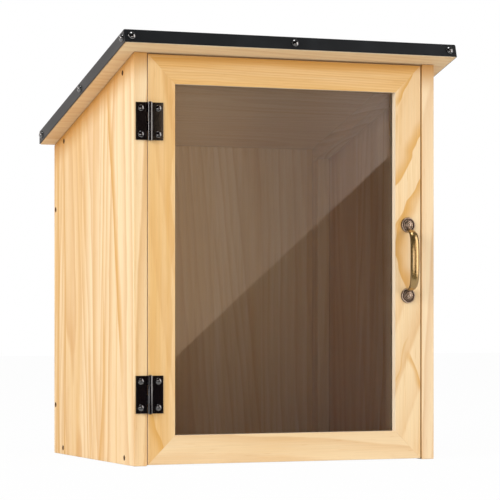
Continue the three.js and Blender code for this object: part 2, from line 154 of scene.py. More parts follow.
def looks(normal, way):
    return normal.dot(Vector(way)) > LOOKS_SHARE


print("points, edges and faces can be picked by their place")

# %% [markdown]
# ## Sawing and easing
#
# A board starts as a squared block. Sawing is a bisect that throws one side away and closes the cut.
# Scoring splits the faces at a line and throws nothing away, which gives the next tool an edge to hold.
# Easing is the light sanding of an arris, which on wood and metal catches a thin line of light.

# %% Saw, score and ease


def block(low, high):
    """A squared piece between two corners."""
    low, high = Vector(low), Vector(high)
    bpy.ops.mesh.primitive_cube_add(size=1, location=(low + high) / 2, scale=high - low)
    bpy.ops.object.transform_apply(location=True, rotation=True, scale=True)
    return bpy.context.object


def saw(piece, point, normal):
    """Cut a piece through a plane and drop the side that the normal points to."""
    pick(piece, "face", everywhere)
    bpy.ops.mesh.bisect(plane_co=point, plane_no=normal, use_fill=True, clear_outer=True)
    put_down()


def score(piece, point, normal):
    """Split the faces along a plane and drop nothing."""
    pick(piece, "face", everywhere)
    bpy.ops.mesh.bisect(plane_co=point, plane_no=normal)
    put_down()


def ease(piece, width, rounds=2, wanted=everywhere):
    """Sand the chosen edges to a small round."""
    pick(piece, "edge", wanted)
    bpy.ops.mesh.bevel(offset=width, segments=rounds, affect="EDGES", clamp_overlap=False)
    put_down()


print("blocks can be sawn, scored and eased")

# %% [markdown]
# ## Finishing a shape
#
# A shape that was spun or joined can have doubled points and faces that look inwards, so those are mended.
# Smooth shading alone would make a flat board look swollen beside its rounded arris.
# Weighted normals keep the large faces flat and let only the rounds turn.
# Every piece ends with its place in its mesh and its object at the origin, as the solids have it.

# %% Mend, smooth and settle
WELD = 0.001 * MM


def face_outwards(piece):
    """Merge doubled points and turn all faces outwards."""
    pick(piece, "face", everywhere)
    bpy.ops.mesh.remove_doubles(threshold=WELD)
    bpy.ops.mesh.normals_make_consistent(inside=False)
    put_down()


def modify(piece, kind, **settings):
    """Give a piece a modifier with its settings, and apply it at once."""
    hold(piece)
    bpy.ops.object.modifier_add(type=kind)
    modifier = piece.modifiers[-1]
    for name, value in settings.items():
        setattr(modifier, name, value)
    bpy.ops.object.modifier_apply(modifier=modifier.name)


def smooth(piece, degrees=35):
    """Shade rounds softly, while the large faces beside them keep their own flat normals."""
    hold(piece)
    bpy.ops.object.shade_smooth_by_angle(angle=math.radians(degrees))
    modify(piece, "WEIGHTED_NORMAL", keep_sharp=True)


def settle(piece, turn):
    """Move and turn a piece, and keep its place in its mesh."""
    piece.matrix_world = turn
    hold(piece)
    bpy.ops.object.transform_apply(location=True, rotation=True, scale=True)


def outward_turn(place, direction):
    """The place of something whose Z runs out along a direction."""
    return Matrix.Translation(place) @ Vector(direction).to_track_quat("Z", "Y").to_matrix().to_4x4()


print("shapes can be mended, smoothed and settled")

# %% [markdown]
# ## Copies, cuts and round pieces
#
# What repeats is modelled once. Its copies go to their places, and the model is put away.
# Linked copies would be lighter, but each copy gets a mesh of its own, so that it can be cut and moved alone.
# Bores and pockets are cut with a second shape, by a Boolean modifier that is applied at once.
# Round pieces are turned as on a lathe. A screw modifier could sweep an outline, but it leaves the axis open,
# so here a disc is drawn up ring by ring, and each ring is widened or narrowed to the outline.

# %% Copy, join, carve and turn


def placed(model, turn):
    """A copy of a model, with a mesh of its own, moved and turned to its place."""
    piece = model.copy()
    piece.data = model.data.copy()
    bpy.context.scene.collection.objects.link(piece)
    settle(piece, turn)
    return piece


def put_away(*models):
    for model in models:
        bpy.data.objects.remove(model)


def joined(pieces):
    hold(pieces[0])
    for piece in pieces:
        piece.select_set(True)
    bpy.ops.object.join()
    return bpy.context.object


def carve(piece, cutter, operation="DIFFERENCE"):
    """Cut one piece with another, or add it, and use it up."""
    modify(piece, "BOOLEAN", operation=operation, solver="EXACT", object=cutter)
    put_away(cutter)


def turned(profile, sides=32):
    """A round piece about Z, drawn up ring by ring from a disc through (radius, height) pairs."""
    first_radius, first_height = profile[0]
    bpy.ops.mesh.primitive_circle_add(
        vertices=sides, radius=first_radius, fill_type="NGON", location=(0, 0, first_height)
    )
    piece = bpy.context.object
    bpy.ops.object.transform_apply(location=True, rotation=True, scale=True)
    pick(piece, "face", everywhere)
    for (radius, height), (next_radius, next_height) in zip(profile, profile[1:]):
        rise = (0, 0, next_height - height)
        bpy.ops.mesh.extrude_region_move(TRANSFORM_OT_translate={"value": rise})
        if next_radius:
            ratio = next_radius / radius
            bpy.ops.transform.resize(value=(ratio, ratio, 1), center_override=(0, 0, next_height))
        else:
            bpy.ops.mesh.merge(type="CENTER")
    put_down()
    face_outwards(piece)
    return piece


def stand_in(piece, node, finish):
    """Put a finished piece in the place of its CAD node, on the same body."""
    piece.name = f"{node}_finished"
    piece.data.materials.clear()
    piece.data.materials.append(finish)
    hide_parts(node)
    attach(piece, homes[node])
    return piece


print("pieces can be copied, joined, carved and turned, and stand in for their solids")

# %% [markdown]
# ## Sums that turn into nodes
#
# A finish is worked out point by point on the surface, by nodes that are wired together.
# Wiring them one at a time hides the formula, so one small class holds a socket and lets it be added,
# multiplied or raised like a number. Each such sum adds the Math node that does it.
# Any other node comes from one method, which sets its options first and its sockets after.

# %% Wires


class Wire:
    """A value in a finish: the output socket of one of its nodes."""

    def __init__(self, tree, socket=None):
        self.tree = tree
        self.socket = socket

    def add(self, kind, settings, values, output=0):
        """Add a node. Its settings are set first, then the numbers or wires of its sockets."""
        node = self.tree.nodes.new("ShaderNode" + kind)
        for name, value in settings.items():
            setattr(node, name, value)
        for name, value in values.items():
            if isinstance(value, Wire):
                self.tree.links.new(value.socket, node.inputs[name])
            else:
                node.inputs[name].default_value = value
        return Wire(self.tree, node.outputs[output] if len(node.outputs) else None)

    def math(self, operation, *values):
        return self.add("Math", {"operation": operation}, dict(enumerate(values)))

    def __add__(self, other):
        return self.math("ADD", self, other)

    def __sub__(self, other):
        return self.math("SUBTRACT", self, other)

    def __rsub__(self, other):
        return self.math("SUBTRACT", other, self)

    def __mul__(self, other):
        return self.math("MULTIPLY", self, other)

    def __truediv__(self, other):
        return self.math("DIVIDE", self, other)

    def __pow__(self, other):
        return self.math("POWER", self, other)

    __radd__ = __add__
    __rmul__ = __mul__

    def floor(self):
        return self.math("FLOOR", self)

    def fraction(self):
        return self.math("FRACT", self)

    def size(self):
        return self.math("ABSOLUTE", self)

    def ramp(self, low, high, start=0.0, end=1.0):
        """Rise softly from start to end while this value goes from low to high."""
        return self.add("MapRange", {"interpolation_type": "SMOOTHSTEP"}, {
            "Value": self, "From Min": low, "From Max": high, "To Min": start, "To Max": end,
        })

    def surface(self, kind="Object"):
        """Where the point that is being shaded lies, or with "Normal" the way that it faces."""
        return self.add("TexCoord", {}, {}, output=kind)

    def vector(self, operation, other, output=0):
        return self.add("VectorMath", {"operation": operation}, {0: self, 1: other}, output)

    def stretched(self, x, y, z):
        return self.vector("MULTIPLY", (x, y, z))

    def towards(self, way):
        """How far this vector reaches along a direction."""
        return self.vector("DOT_PRODUCT", way, "Value")

    def nearest(self, points):
        """How far this place is from the nearest of some points."""
        first, *others = [self.vector("DISTANCE", point, "Value") for point in points]
        for other in others:
            first = first.math("MINIMUM", first, other)
        return first

    def noise(self, scale, detail=2.0, roughness=0.5):
        return self.add("TexNoise", {}, {
            "Vector": self, "Scale": scale, "Detail": detail, "Roughness": roughness,
        })

    def dice(self, output="Value"):
        """A number, or with "Color" three numbers, by chance: the same for the same value."""
        return self.add("TexWhiteNoise", {"noise_dimensions": "1D"}, {"W": self}, output)

    def parts(self):
        """The X, Y and Z of a vector, each as a wire."""
        node = self.add("SeparateXYZ", {}, {"Vector": self}).socket.node
        return [Wire(self.tree, node.outputs[i]) for i in range(3)]

    def blend(self, first, second):
        """Mix two colours, with this value as the share of the second."""
        return self.add("Mix", {"data_type": "RGBA", "clamp_factor": True}, {
            0: self, 6: first, 7: second,
        }, output=2)

    def relief(self, strength, depth):
        """Turn this value, as a height, into a tilt of the surface."""
        return self.add("Bump", {}, {"Height": self, "Strength": strength, "Distance": depth})

    def close(self, kind="OutputMaterial"):
        """Give this shader to the surface, or to the world."""
        self.add(kind, {}, {"Surface": self})


print("sums of wires add", len([name for name in vars(Wire) if not name.startswith("_")]), "kinds of step")

# %% [markdown]
# ## Colours and empty finishes
#
# Colours are picked on screen, where the numbers are squeezed so that darks have room.
# Shaders count light instead, so a picked colour is stretched back before it is used.
# Most finishes end in one Principled shader, which covers paint, bare metal and wood alike.

# %% Paint, finishes and coats


def paint(red, green, blue):
    """A colour as it is picked on screen, from 0 to 255, as the light values that a shader takes."""
    def light(value):
        share = value / 255
        return share / 12.92 if share <= 0.04045 else ((share + 0.055) / 1.055) ** 2.4
    return (light(red), light(green), light(blue), 1.0)


def new_finish(name):
    """An empty material, and the wire that its nodes start from."""
    finish = bpy.data.materials.new(name)
    finish.use_nodes = True
    finish.node_tree.nodes.clear()
    return finish, Wire(finish.node_tree)


def coat(start, values):
    """Close a finish with one Principled shader."""
    start.add("BsdfPrincipled", {}, values).close()


print("mid grey on screen is", round(paint(128, 128, 128)[0], 3), "as light")

# %% [markdown]
# ## Pine
#
# A pine board is a slice through a trunk, so its figure is a set of cylinders, the growth rings, cut flat.
# A painted stripe pattern would show the same lines on a face and on its edge.
# This finish is solid instead: it measures each point's distance from the trunk's middle, the pith,
# and darkens the late wood at the end of each year's ring. Where the pith leans, rings run out as arches.
# Wide boards are glued up from narrow staves, and each stave gets a pith and a tone of its own.
# Fine fibres along the grain, and short resin flecks, are noise that is stretched out lengthwise.

# %% Colours and noises of the wood
CREAM = paint(248, 219, 173)
HONEY = paint(231, 184, 113)
LATE_WOOD = paint(210, 148, 70)
GOLD_WOOD = paint(220, 164, 80)
END_WOOD = paint(206, 152, 96)
FIBRE_WOOD = paint(120, 84, 48)
# Grey of raw wood, also laid on as painted shade inside the cabinet
RAW_AND_SHADED_WOOD = paint(176, 160, 142)
# Pale wood for painted highlights on edges
EDGE_HIGHLIGHT_WOOD = paint(255, 240, 218)
# Painted shade for the wood just under the roof
EAVE_SHADE_WOOD = paint(192, 132, 46)
# Painted shade in the screw seats
SEAT_SHADE_WOOD = paint(66, 38, 20)
GRAIN_TURNS = {"x": (0, math.pi / 2, 0), "y": (-math.pi / 2, 0, 0), "z": (0, 0, 0)}

# Each kind of unevenness: how much it is squeezed along the grain, its scale, detail and roughness
UNEVEN = {
    "sway": (0.2, 13, 2, 0.5),
    "ripple": (0.3, 70, 2, 0.5),
    "streak": (0.035, 190, 3, 0.6),
    "fibre": (0.012, 1500, 2, 0.5),
    "fleck": (0.06, 820, 0, 0.5),
    "cloud": (0.12, 26, 1, 0.5),
}
print(len(UNEVEN), "kinds of unevenness, from clouds to fibres")

# %% [markdown]
# ## Rings, staves and lines of late wood
#
# A ring darkens slowly through its summer and ends sharply at the winter, so its tone is a power of the year
# that drops at the end. Some years are darker than others, which a throw of the dice for each ring decides.
# The strongest lines of a board are listed one by one, because chance alone never gives the arches
# that the eye remembers of one certain board.

# %% Rings, staves and lines
RING_GAP = 6.5 * MM
SUMMER_POWER = 1.7
WINTER_SHARE = 0.84
PALE_YEAR_SHARE = 0.3
STAVE_SEED_STEP = 7.31
PITH_SCATTER_SHARE = 1.6
PITH_DEPTH, PITH_DEPTH_SPREAD = 12 * MM, 40 * MM
LEAN_SPREAD = 0.3
LINE_EDGE = (-0.3 * MM, 0.5 * MM)
LINE_RUNOUT_SHARE = 0.5


def late_wood(rings, seed):
    """How late in its year a point grew, from a count of rings out from the pith."""
    year = rings.fraction()
    chance = (rings.floor() + seed).dice()
    summer = year ** SUMMER_POWER * year.ramp(WINTER_SHARE, 1.0, 1.0, 0.0)
    return summer * (PALE_YEAR_SHARE + chance * (1 - PALE_YEAR_SHARE))


def glued_staves(across, stave, first_joint, seed, lean):
    """Where the pith of each stave lies, how it leans, and the stave's tone."""
    index = ((across - first_joint) / stave).floor()
    first, second, tone = (index + STAVE_SEED_STEP * seed).dice("Color").parts()
    scatter = (first - 0.5) * (stave * PITH_SCATTER_SHARE)
    pith = (index + 0.5) * stave + first_joint + scatter, second * PITH_DEPTH_SPREAD + PITH_DEPTH
    return pith, (second - 0.5) * LEAN_SPREAD + lean, tone


def figure_line(across, along, wobble, place, height, slope, bow, soft, reach):
    """One line of late wood: crisp on one side, and fading over a width on the other.

    It passes through (place, height) with a slope and a bow, all in mm, and runs out beyond its reach.
    """
    rise = along - height * MM
    offset = across - rise * slope - rise * rise * (bow / MM) - place * MM + wobble
    if soft < 0:
        offset = offset * -1
    crisp = offset.ramp(*LINE_EDGE)
    fading = offset.ramp(0.0, abs(soft) * MM, 1.0, 0.0)
    return crisp * fading * rise.size().ramp(reach * LINE_RUNOUT_SHARE * MM, reach * MM, 1.0, 0.0)


print("a ring is pale for", round(100 * 0.5 ** (1 / SUMMER_POWER)), "percent of its year")

# %% [markdown]
# ## One finish for every board
#
# Each board needs its own grain, so one function makes its finish from a few facts:
# which way the grain runs, which way the board is wide, where the pith lies, and how warm and figured it is.
# The tones are laid over each other: sapwood, rings and lines, then painted light and what handling did.
# End grain drinks oil and darkens, edges go browner or paler with a painted highlight, and painted shade
# darkens the wood under the roof and in each screw seat.

# %% What oil and handling did to the wood, and painted shade
SEAT_SHADE_RING = (2.5 * MM, 3.1 * MM)
EAVE_SHADE_SHARE = 0.9
SEAT_SHADE_SHARE = 0.85
END_SHARE = 0.7


def paint_eave_shade(colour, place, depth):
    """Paint shade on the wood that lies less than a depth under the roof, where the eave would shade it."""
    drop = EAVE.dot(UP_THE_ROOF) - place.towards(UP_THE_ROOF)
    return drop.ramp(-MM, depth, EAVE_SHADE_SHARE, 0.0).blend(colour, EAVE_SHADE_WOOD)


def handled(colour, uneven, on_end, raw):
    """Lay resin flecks, oily ends, dark fibres and a grey raw skin over the wood; more grey, given per board,
    is partly painted shade.
    """
    fibre = uneven["fibre"]
    colour = uneven["fleck"].ramp(0.71, 0.78, 0.0, 0.2).blend(colour, LATE_WOOD)
    colour = (on_end * END_SHARE).blend(colour, END_WOOD)
    colour = fibre.ramp(0.3, 0.7, 0.10, 0.0).blend(colour, FIBRE_WOOD)
    return (fibre * 0.1 + raw).blend(colour, RAW_AND_SHADED_WOOD)


def paint_seat_shade(colour, place, screws):
    """Paint shade into each screw seat, fading out just past its rim."""
    return place.nearest(screws).ramp(*SEAT_SHADE_RING, SEAT_SHADE_SHARE, 0.0).blend(colour, SEAT_SHADE_WOOD)


# The painted shade of a screw seat reaches this far from the screw's middle.
print(f"wood is crushed {SEAT_SHADE_RING[1] / MM:.1f} mm round the middle of a screw")

# %% The pine finish
CLOUD_TONE, STREAK_TONE, STAVE_TONE, MID_TONE = 1.1, 0.9, 0.6, 0.42
SEED_STEPS = Vector((0.37, 0.21, 0.5))
LINE_WOBBLE, LINE_RIPPLE = 12 * MM, 2 * MM
SQUARE_ON = (0.6, 0.85)
LATE_SHARE = 0.62
GRAIN_DEPTH = 0.25 * MM


def pine(node, grain, wide, stave=None, joint=None, pith=(0.0, 0.04), lean=0.02, seed=0, gap=RING_GAP,
         sway=0.016, curl=0.0022, figure=1.0, warm=0.0, drift=0.0, raw=0.0, edge=0.0, tilt=0.0,
         lines=(), wander=0.15, eave_shade_depth=0.0, screws=()):
    """Wood for one board: grain is the way it runs, wide the local axis across the board's face.

    A board gets browner with warm, to one side with drift, and at its edges with edge, which partly stands in
    for how light falls on them and paints a highlight where it is negative. It gets greyer by its raw share,
    partly as painted shade, and gets painted shade under the roof.
    """
    finish, start = new_finish(f"pine_{node}")
    low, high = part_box(node)
    place = start.surface()
    turn = Matrix.Rotation(tilt, 3, "X") @ Euler(GRAIN_TURNS[grain]).to_matrix()
    grained = start.add("Mapping", {"vector_type": "TEXTURE"}, {
        "Vector": place, "Location": (low + high) / 2, "Rotation": turn.to_euler(),
    })
    shifted = grained.vector("ADD", SEED_STEPS * seed)
    uneven = {
        kind: shifted.stretched(1, 1, squeeze).noise(scale, detail, roughness)
        for kind, (squeeze, scale, detail, roughness) in UNEVEN.items()
    }
    swaying, rippling = uneven["sway"] - 0.5, uneven["ripple"] - 0.5
    streak, fibre = uneven["streak"], uneven["fibre"]

    x, y, along = grained.parts()
    across, deep = (x, y) if wide == "x" else (y, x)
    tone = 0.5
    if stave:
        first_joint = (low - high)["xy".index(wide)] / 2 if joint is None else joint
        pith, lean, tone = glued_staves(across, stave, first_joint, seed, lean)
    side = across - pith[0] - along * lean
    depth = deep - pith[1]
    radius = (side * side + depth * depth) ** 0.5
    late = late_wood((radius + swaying * sway + rippling * curl) / gap, seed)

    normal = start.surface("Normal")
    on_end = normal.towards(turn @ Vector(UP)).size().ramp(*SQUARE_ON)
    on_edge = normal.towards(turn @ Vector(RIGHT if wide == "x" else BACKWARD)).size().ramp(*SQUARE_ON)

    warmth = (uneven["cloud"] - 0.5) * CLOUD_TONE + (streak - 0.5) * STREAK_TONE + (tone - 0.5) * STAVE_TONE
    warmth = warmth + across * drift + on_edge * edge + (MID_TONE + warm)
    colour = warmth.ramp(-0.1, 1.1).blend(CREAM, HONEY)
    colour = (late * (1 - on_end * END_SHARE) * (LATE_SHARE * figure)).blend(colour, LATE_WOOD)
    wobble = (shifted.stretched(1, 1, wander).noise(scale=42, detail=1) - 0.5) * LINE_WOBBLE
    wobble = wobble + rippling * LINE_RIPPLE
    for *shape, strength in lines:
        line = figure_line(across, along, wobble, *shape)
        colour = (line * (1 - on_edge) * strength).blend(colour, GOLD_WOOD)
    # A negative edge paints a highlight on the edges
    if edge < 0:
        colour = (on_edge * -edge).blend(colour, EDGE_HIGHLIGHT_WOOD)
    # Painted shade under the roof's eave
    if eave_shade_depth:
        colour = paint_eave_shade(colour, place, eave_shade_depth)
    colour = handled(colour, uneven, on_end, raw)
    # Painted shade in and round the screw seats
    if screws:
        colour = paint_seat_shade(colour, place, screws)
    height = (fibre * 0.6 + late * 0.5 + streak * 0.3) * (1 - on_end * 0.8)
    coat(start, {
        "Base Color": colour, "Roughness": 0.5 + fibre * 0.16, "Normal": height.relief(0.25, GRAIN_DEPTH),
        "Specular IOR Level": 0.25,
    })
    return finish


print("pine can be cut along", ", ".join(GRAIN_TURNS))

# %% [markdown]
# ## Painted and blackened steel
#
# The roof sheet is powder coated, so it is no metal to the eye: light meets the paint.
# Powder coat has a fine orange-peel skin, which breaks a reflection up, and it gathers a little dust.
# The hinges and their screws are a thinner, glossier black, rubbed where fingers and drivers touch it.
# A second, clear layer on top gives the hard small lights of a polished black,
# which one rough layer could only give as a grey haze.

# %% Finishes for the dark steel
CHARCOAL, DUST = paint(20, 22, 24), paint(40, 43, 46)
PEEL_DEPTH = 0.1 * MM
RUB_DEPTH = 0.1 * MM


def powder_coat():
    finish, start = new_finish("charcoal_powder_coat")
    place = start.surface()
    peel = place.noise(scale=1300, detail=1)
    dust = place.stretched(1, 0.5, 1).noise(scale=24, detail=3, roughness=0.65)
    coat(start, {
        "Base Color": dust.ramp(0.42, 0.8, 0.0, 0.3).blend(CHARCOAL, DUST), "Roughness": 0.4 + dust * 0.16,
        "Normal": peel.relief(0.12, PEEL_DEPTH), "Specular IOR Level": 0.2,
    })
    return finish


def dark_plating(name, base, rubbed, roughness, gloss=0.0, shine=0.5, coat_index=1.5):
    """A dark lacquer or plating that is rubbed paler in places, under a clear gloss where it is polished."""
    finish, start = new_finish(name)
    rub = start.surface().noise(scale=420, detail=3, roughness=0.6)
    coat(start, {
        "Base Color": rub.ramp(0.5, 0.85, 0.0, 0.35).blend(base, rubbed), "Roughness": roughness + rub * 0.06,
        "Normal": rub.relief(0.05, RUB_DEPTH), "Specular IOR Level": shine, "Coat Weight": gloss,
        "Coat Roughness": 0.05, "Coat IOR": coat_index,
    })
    return finish


roof_finish = powder_coat()
hinge_finish = dark_plating(
    "black_hinge_steel", paint(14, 8, 10), paint(32, 24, 26), 0.06, gloss=1.0, shine=0.9, coat_index=1.8,
)
dome_finish = dark_plating(
    "black_screw_steel", paint(9, 8, 8), paint(28, 26, 26), 0.1, gloss=1.0, shine=0.2, coat_index=2.6,
)
brown_finish = dark_plating("brown_screw_steel", paint(50, 29, 16), paint(84, 54, 32), 0.45, shine=0.3)
print("dark steel:", roof_finish.name, hinge_finish.name, dome_finish.name, brown_finish.name)

# %% [markdown]
# ## Bare metal and antique brass
#
# Zinc and the magnet are bare, so they use full metal in two mottled tones.
# The brass is antiqued: a brown patina stays in the rings of its feet, and the grip's flanks get the same
# brown as painted shade, the parts that stand out are rubbed bright, and a thin clear lacquer seals both.
# The rings are found by their height over the door, and the flanks by the way that they face,
# so the patina and the painted shade follow the casting without any image map.

# %% Finishes for the bare metal and the brass
BRUSHED_DEPTH = 0.05 * MM
CAST_DEPTH = 0.1 * MM
RING_HEIGHTS = (0.9 * MM, 1.7 * MM)
FOOT_EDGE_SHARES = (0.95, 1.15)
# The patina's brown also paints shade on the grip's flanks.
BRIGHT_BRASS, BRIGHT_FOOT, PATINA_AND_SHADE = paint(174, 142, 86), paint(190, 166, 144), paint(58, 36, 22)


def plated(name, bright, dull, roughness, grain=500, spots=0.5):
    """Bare metal in two tones, mottled at a fine scale."""
    finish, start = new_finish(name)
    place = start.surface()
    mottle = place.noise(scale=grain, detail=3, roughness=0.6)
    brushed = place.stretched(1, 1, 0.08).noise(scale=2600, detail=1)
    coat(start, {
        "Base Color": mottle.ramp(0.35, 0.75, 0.0, spots).blend(bright, dull), "Metallic": 1.0,
        "Roughness": roughness + mottle * 0.14, "Normal": brushed.relief(0.08, BRUSHED_DEPTH),
    })
    return finish


def antique_brass(feet, foot_radius, door_face):
    """Brass with patina in the rings of its feet, painted shade on the flanks of its grip, and rubbed bright
    where it stands out.
    """
    finish, start = new_finish("antique_brass")
    place = start.surface()
    inner, outer = (foot_radius * share for share in FOOT_EDGE_SHARES)
    on_foot = place.nearest(feet).ramp(inner, outer, 1.0, 0.0)
    ring = (door_face - place.parts()[1]).ramp(*RING_HEIGHTS, 1.0, 0.0)
    # The grip's flanks get painted shade, in the patina's brown.
    flank_shade = start.surface("Normal").parts()[0].size().ramp(0.6, 0.95)
    mottle = place.noise(scale=650, detail=3, roughness=0.65)
    patina_and_shade = on_foot * (ring * 1.0 + 0.2) + (1 - on_foot) * (flank_shade * 0.5 + 0.1) + (mottle - 0.5) * 0.4
    patina_and_shade = patina_and_shade.ramp(0.0, 1.0)
    coat(start, {
        "Base Color": patina_and_shade.blend(on_foot.blend(BRIGHT_BRASS, BRIGHT_FOOT), PATINA_AND_SHADE),
        "Metallic": 0.9 - patina_and_shade * 0.3, "Roughness": 0.25 + patina_and_shade * 0.12,
        "Normal": mottle.relief(0.06, CAST_DEPTH),
        "Coat Weight": 0.5, "Coat Roughness": 0.14, "Coat IOR": 1.8,
    })
    return finish


zinc_finish = plated("bright_zinc", paint(206, 208, 210), paint(176, 180, 172), 0.24)
magnet_finish = plated("dark_ferrite", paint(72, 74, 78), paint(50, 50, 54), 0.5, grain=900)
print("bare metal:", zinc_finish.name, magnet_finish.name)

# %% [markdown]
# ## Moulded plastic and the clear pane
#
# The catch is brown plastic with a fine moulded texture.
# The pane could be true refracting glass, but light then reaches the inside only by chance,
# and the room behind it turns noisy. A flat pane bends nothing, so it is made of two plain parts:
# a see-through one with a faint tint, and a mirror one that grows towards glancing angles by Fresnel's law.
# A trace of dull haze lies over both, as on acrylic that has been wiped dry.

# %% Finishes for the catch and the pane
MOULD_DEPTH = 0.08 * MM
PANE_TINT, PANE_HAZE = paint(251, 250, 248), paint(205, 198, 194)
PANE_INDEX = 1.46
HAZE_SHARES = (0.026, 0.044)


def moulded_plastic():
    finish, start = new_finish("brown_moulded_plastic")
    place = start.surface()
    skin = place.noise(scale=2200, detail=1)
    tint = place.noise(scale=60, detail=2)
    coat(start, {
        "Base Color": tint.blend(paint(112, 80, 54), paint(96, 68, 46)), "Roughness": 0.42 + skin * 0.1,
        "Normal": skin.relief(0.2, MOULD_DEPTH),
    })
    return finish


def clear_pane():
    finish, start = new_finish("clear_pane")
    wiped = start.surface().stretched(1, 1, 0.5).noise(scale=9, detail=3, roughness=0.6)
    see_through = start.add("BsdfTransparent", {}, {"Color": PANE_TINT})
    mirror = start.add("BsdfGlossy", {}, {"Roughness": 0.02})
    haze = start.add("BsdfDiffuse", {}, {"Color": PANE_HAZE})
    share = start.add("Fresnel", {}, {"IOR": PANE_INDEX})
    clean = start.add("MixShader", {}, {0: share, 1: see_through, 2: mirror})
    start.add("MixShader", {}, {0: wiped.ramp(0.2, 0.9, *HAZE_SHARES), 1: clean, 2: haze}).close()
    return finish


plastic_finish = moulded_plastic()
pane_finish = clear_pane()
print("finishes so far:", sorted(finish.name for finish in bpy.data.materials))

# %% [markdown]
# ## Cabinet boards
#
# The sides are glued-up pine boards, sawn to the roof's slope and screwed to floor, back and cleats.
# Each starts as a squared block at the size of its solid, is sawn along the roof, and has its arrises eased.
# The trim-head screws sit just below the face, so their seats are bored with a countersunk cutter.
# Under the roof they are darker, and so is the wood in and round each screw seat: both are painted shade.
# The inner boards are the same wood, a little greyer, as raw wood without oil and partly as painted shade
# inside.

# %% Where the trim screws go
SIDES = {"left": LEFT, "right": RIGHT}
SIDE_SCREWS = ("floor_front", "floor_rear", "cleat_front", "cleat_rear")
BACK_SCREW_DROP = 71 * MM
BACK_SCREW_RISE = 53 * MM


def middle_of(node):
    low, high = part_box(node)
    return (low + high) / 2


def side_screw_places(side):
    """Where screws enter a side board: the ones that the solids have, then the back panel's two."""
    low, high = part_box(f"{side}_side_panel")
    face = low.x if side == "left" else high.x
    middles = [middle_of(f"{side}_{name}_screw") for name in SIDE_SCREWS]
    seats = [(middle.y, middle.z) for middle in middles]
    for height in (REAR_HEIGHT - BACK_SCREW_DROP, BACK_SCREW_RISE):
        seats.append((middle_of("back_panel").y, height))
    return [Vector((face, *seat)) for seat in seats]


print(len(side_screw_places("left")), "screws go into the left side board")

# %% Side boards with their screw seats
ARRIS = 0.7 * MM
SEAT_RADIUS = 2.5 * MM
SEAT_DEPTH = 0.8 * MM
SEAT_CONE = 2.0 * MM
SEAT_FOOT_RADIUS = 1.5 * MM
STAVE = 57 * MM

# Each line of late wood: its place, height, slope, bow, soft width and reach, in mm, and its strength
SIDE_LINES = [
    (-66, 41, 0.15, 0, -16, 190, 1.0), (-80, 60, 0, 0, 6, 400, 0.5), (-35, 90, 0, 0, -4, 300, 0.7),
    (-3, 40, 0, 0, -24, 300, 0.5), (91, 0, 0.01, 0, 9, 500, 0.95), (113, 60, 0, 0, 12, 500, 0.9),
    (-30, -150, -0.08, 0.0004, -14, 110, 0.8), (10, -150, 0.06, 0.0003, -12, 90, 0.6),
    (30, 120, 0.02, 0, -18, 130, 0.5),
]
# The side boards get painted shade for a depth under the roof.
SIDE_WOOD = {
    "grain": "z", "wide": "y", "stave": STAVE, "joint": -80 * MM, "gap": 10 * MM, "sway": 0.02, "figure": 1.4,
    "drift": 1.6, "warm": 0.05, "lines": SIDE_LINES, "eave_shade_depth": 32 * MM,
}
# Edge tones partly stand in for how light falls on the boards' front edges; the right board's paints a
# highlight.
OWN_WOOD = {"left": {"seed": 3, "edge": 0.25}, "right": {"seed": 8, "edge": -0.2}}

seat_cutter = turned([
    (SEAT_FOOT_RADIUS, -SEAT_DEPTH - SEAT_CONE), (SEAT_RADIUS, -SEAT_DEPTH), (SEAT_RADIUS, SEAT_DEPTH),
], sides=24)
for side, direction in SIDES.items():
    node = f"{side}_side_panel"
    places = side_screw_places(side)
    board = block(*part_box(node))
    saw(board, EAVE, UP_THE_ROOF)
    ease(board, ARRIS)
    carve(board, joined([placed(seat_cutter, outward_turn(place, direction)) for place in places]))
    smooth(board)
    stand_in(board, node, pine(node, screws=places, **SIDE_WOOD, **OWN_WOOD[side]))
    print(board.name, "has", len(board.data.polygons), "faces")
put_away(seat_cutter)

# %% Inner boards, cleats and posts
# Each board: its node, the way its grain runs, the way it is wide, and the width of its staves
INNER = [
    ("floor_panel", "x", "y", STAVE), ("back_panel", "z", "x", STAVE),
    ("left_roof_cleat", "y", "x", None), ("right_roof_cleat", "y", "x", None),
    ("left_rear_post", "z", "x", None), ("right_rear_post", "z", "x", None),
]
PLAIN_PITH = (10 * MM, 30 * MM)
POST_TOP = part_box("left_rear_post")[1].z

for seed, (node, grain, wide, stave) in enumerate(INNER, start=11):
    low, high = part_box(node)
    board = block(low, high)
    top = EAVE if high.z > POST_TOP + MM else Vector((0, low.y, high.z))
    if node != "floor_panel":
        saw(board, top, UP_THE_ROOF)
    if node.endswith("cleat"):
        saw(board, ROOF_TURN @ Vector((0, 0, local_box(node, ROOF_TURN)[0].z)), -UP_THE_ROOF)
    ease(board, ARRIS)
    smooth(board)
    # The raw share greys the inner boards, partly as painted shade inside.
    stand_in(board, node, pine(node, grain, wide, stave=stave, pith=PLAIN_PITH, seed=seed, raw=0.04))
    print(board.name, "has", len(board.data.polygons), "faces")

# %% [markdown]
# ## Roof deck and its folded metal sheet
#
# Deck and sheet are measured and built flat, in a frame that lies on the slope, and are then tilted.
# Their rear ends are sawn afterwards, because the real roof is cut plumb there to hang flat on a wall.
# The sheet is folded from one thin piece. It starts as a block that loses its underside and its rear,
# its folds get the bend radius that thin steel needs, and Solidify then gives it its thickness inwards.

# %% Roof deck
deck = block(*local_box("roof_deck", ROOF_TURN))
settle(deck, ROOF_TURN)
saw(deck, (0, REAR, 0), BACKWARD)
ease(deck, ARRIS)
smooth(deck)
# The deck's front and rear faces are paled as a painted highlight.
stand_in(deck, "roof_deck", pine(
    "roof_deck", "x", "y", stave=STAVE, seed=5, figure=0.7, warm=-0.3, edge=-0.4, tilt=-SLOPE,
))
print(deck.name, "has", len(deck.data.polygons), "faces")

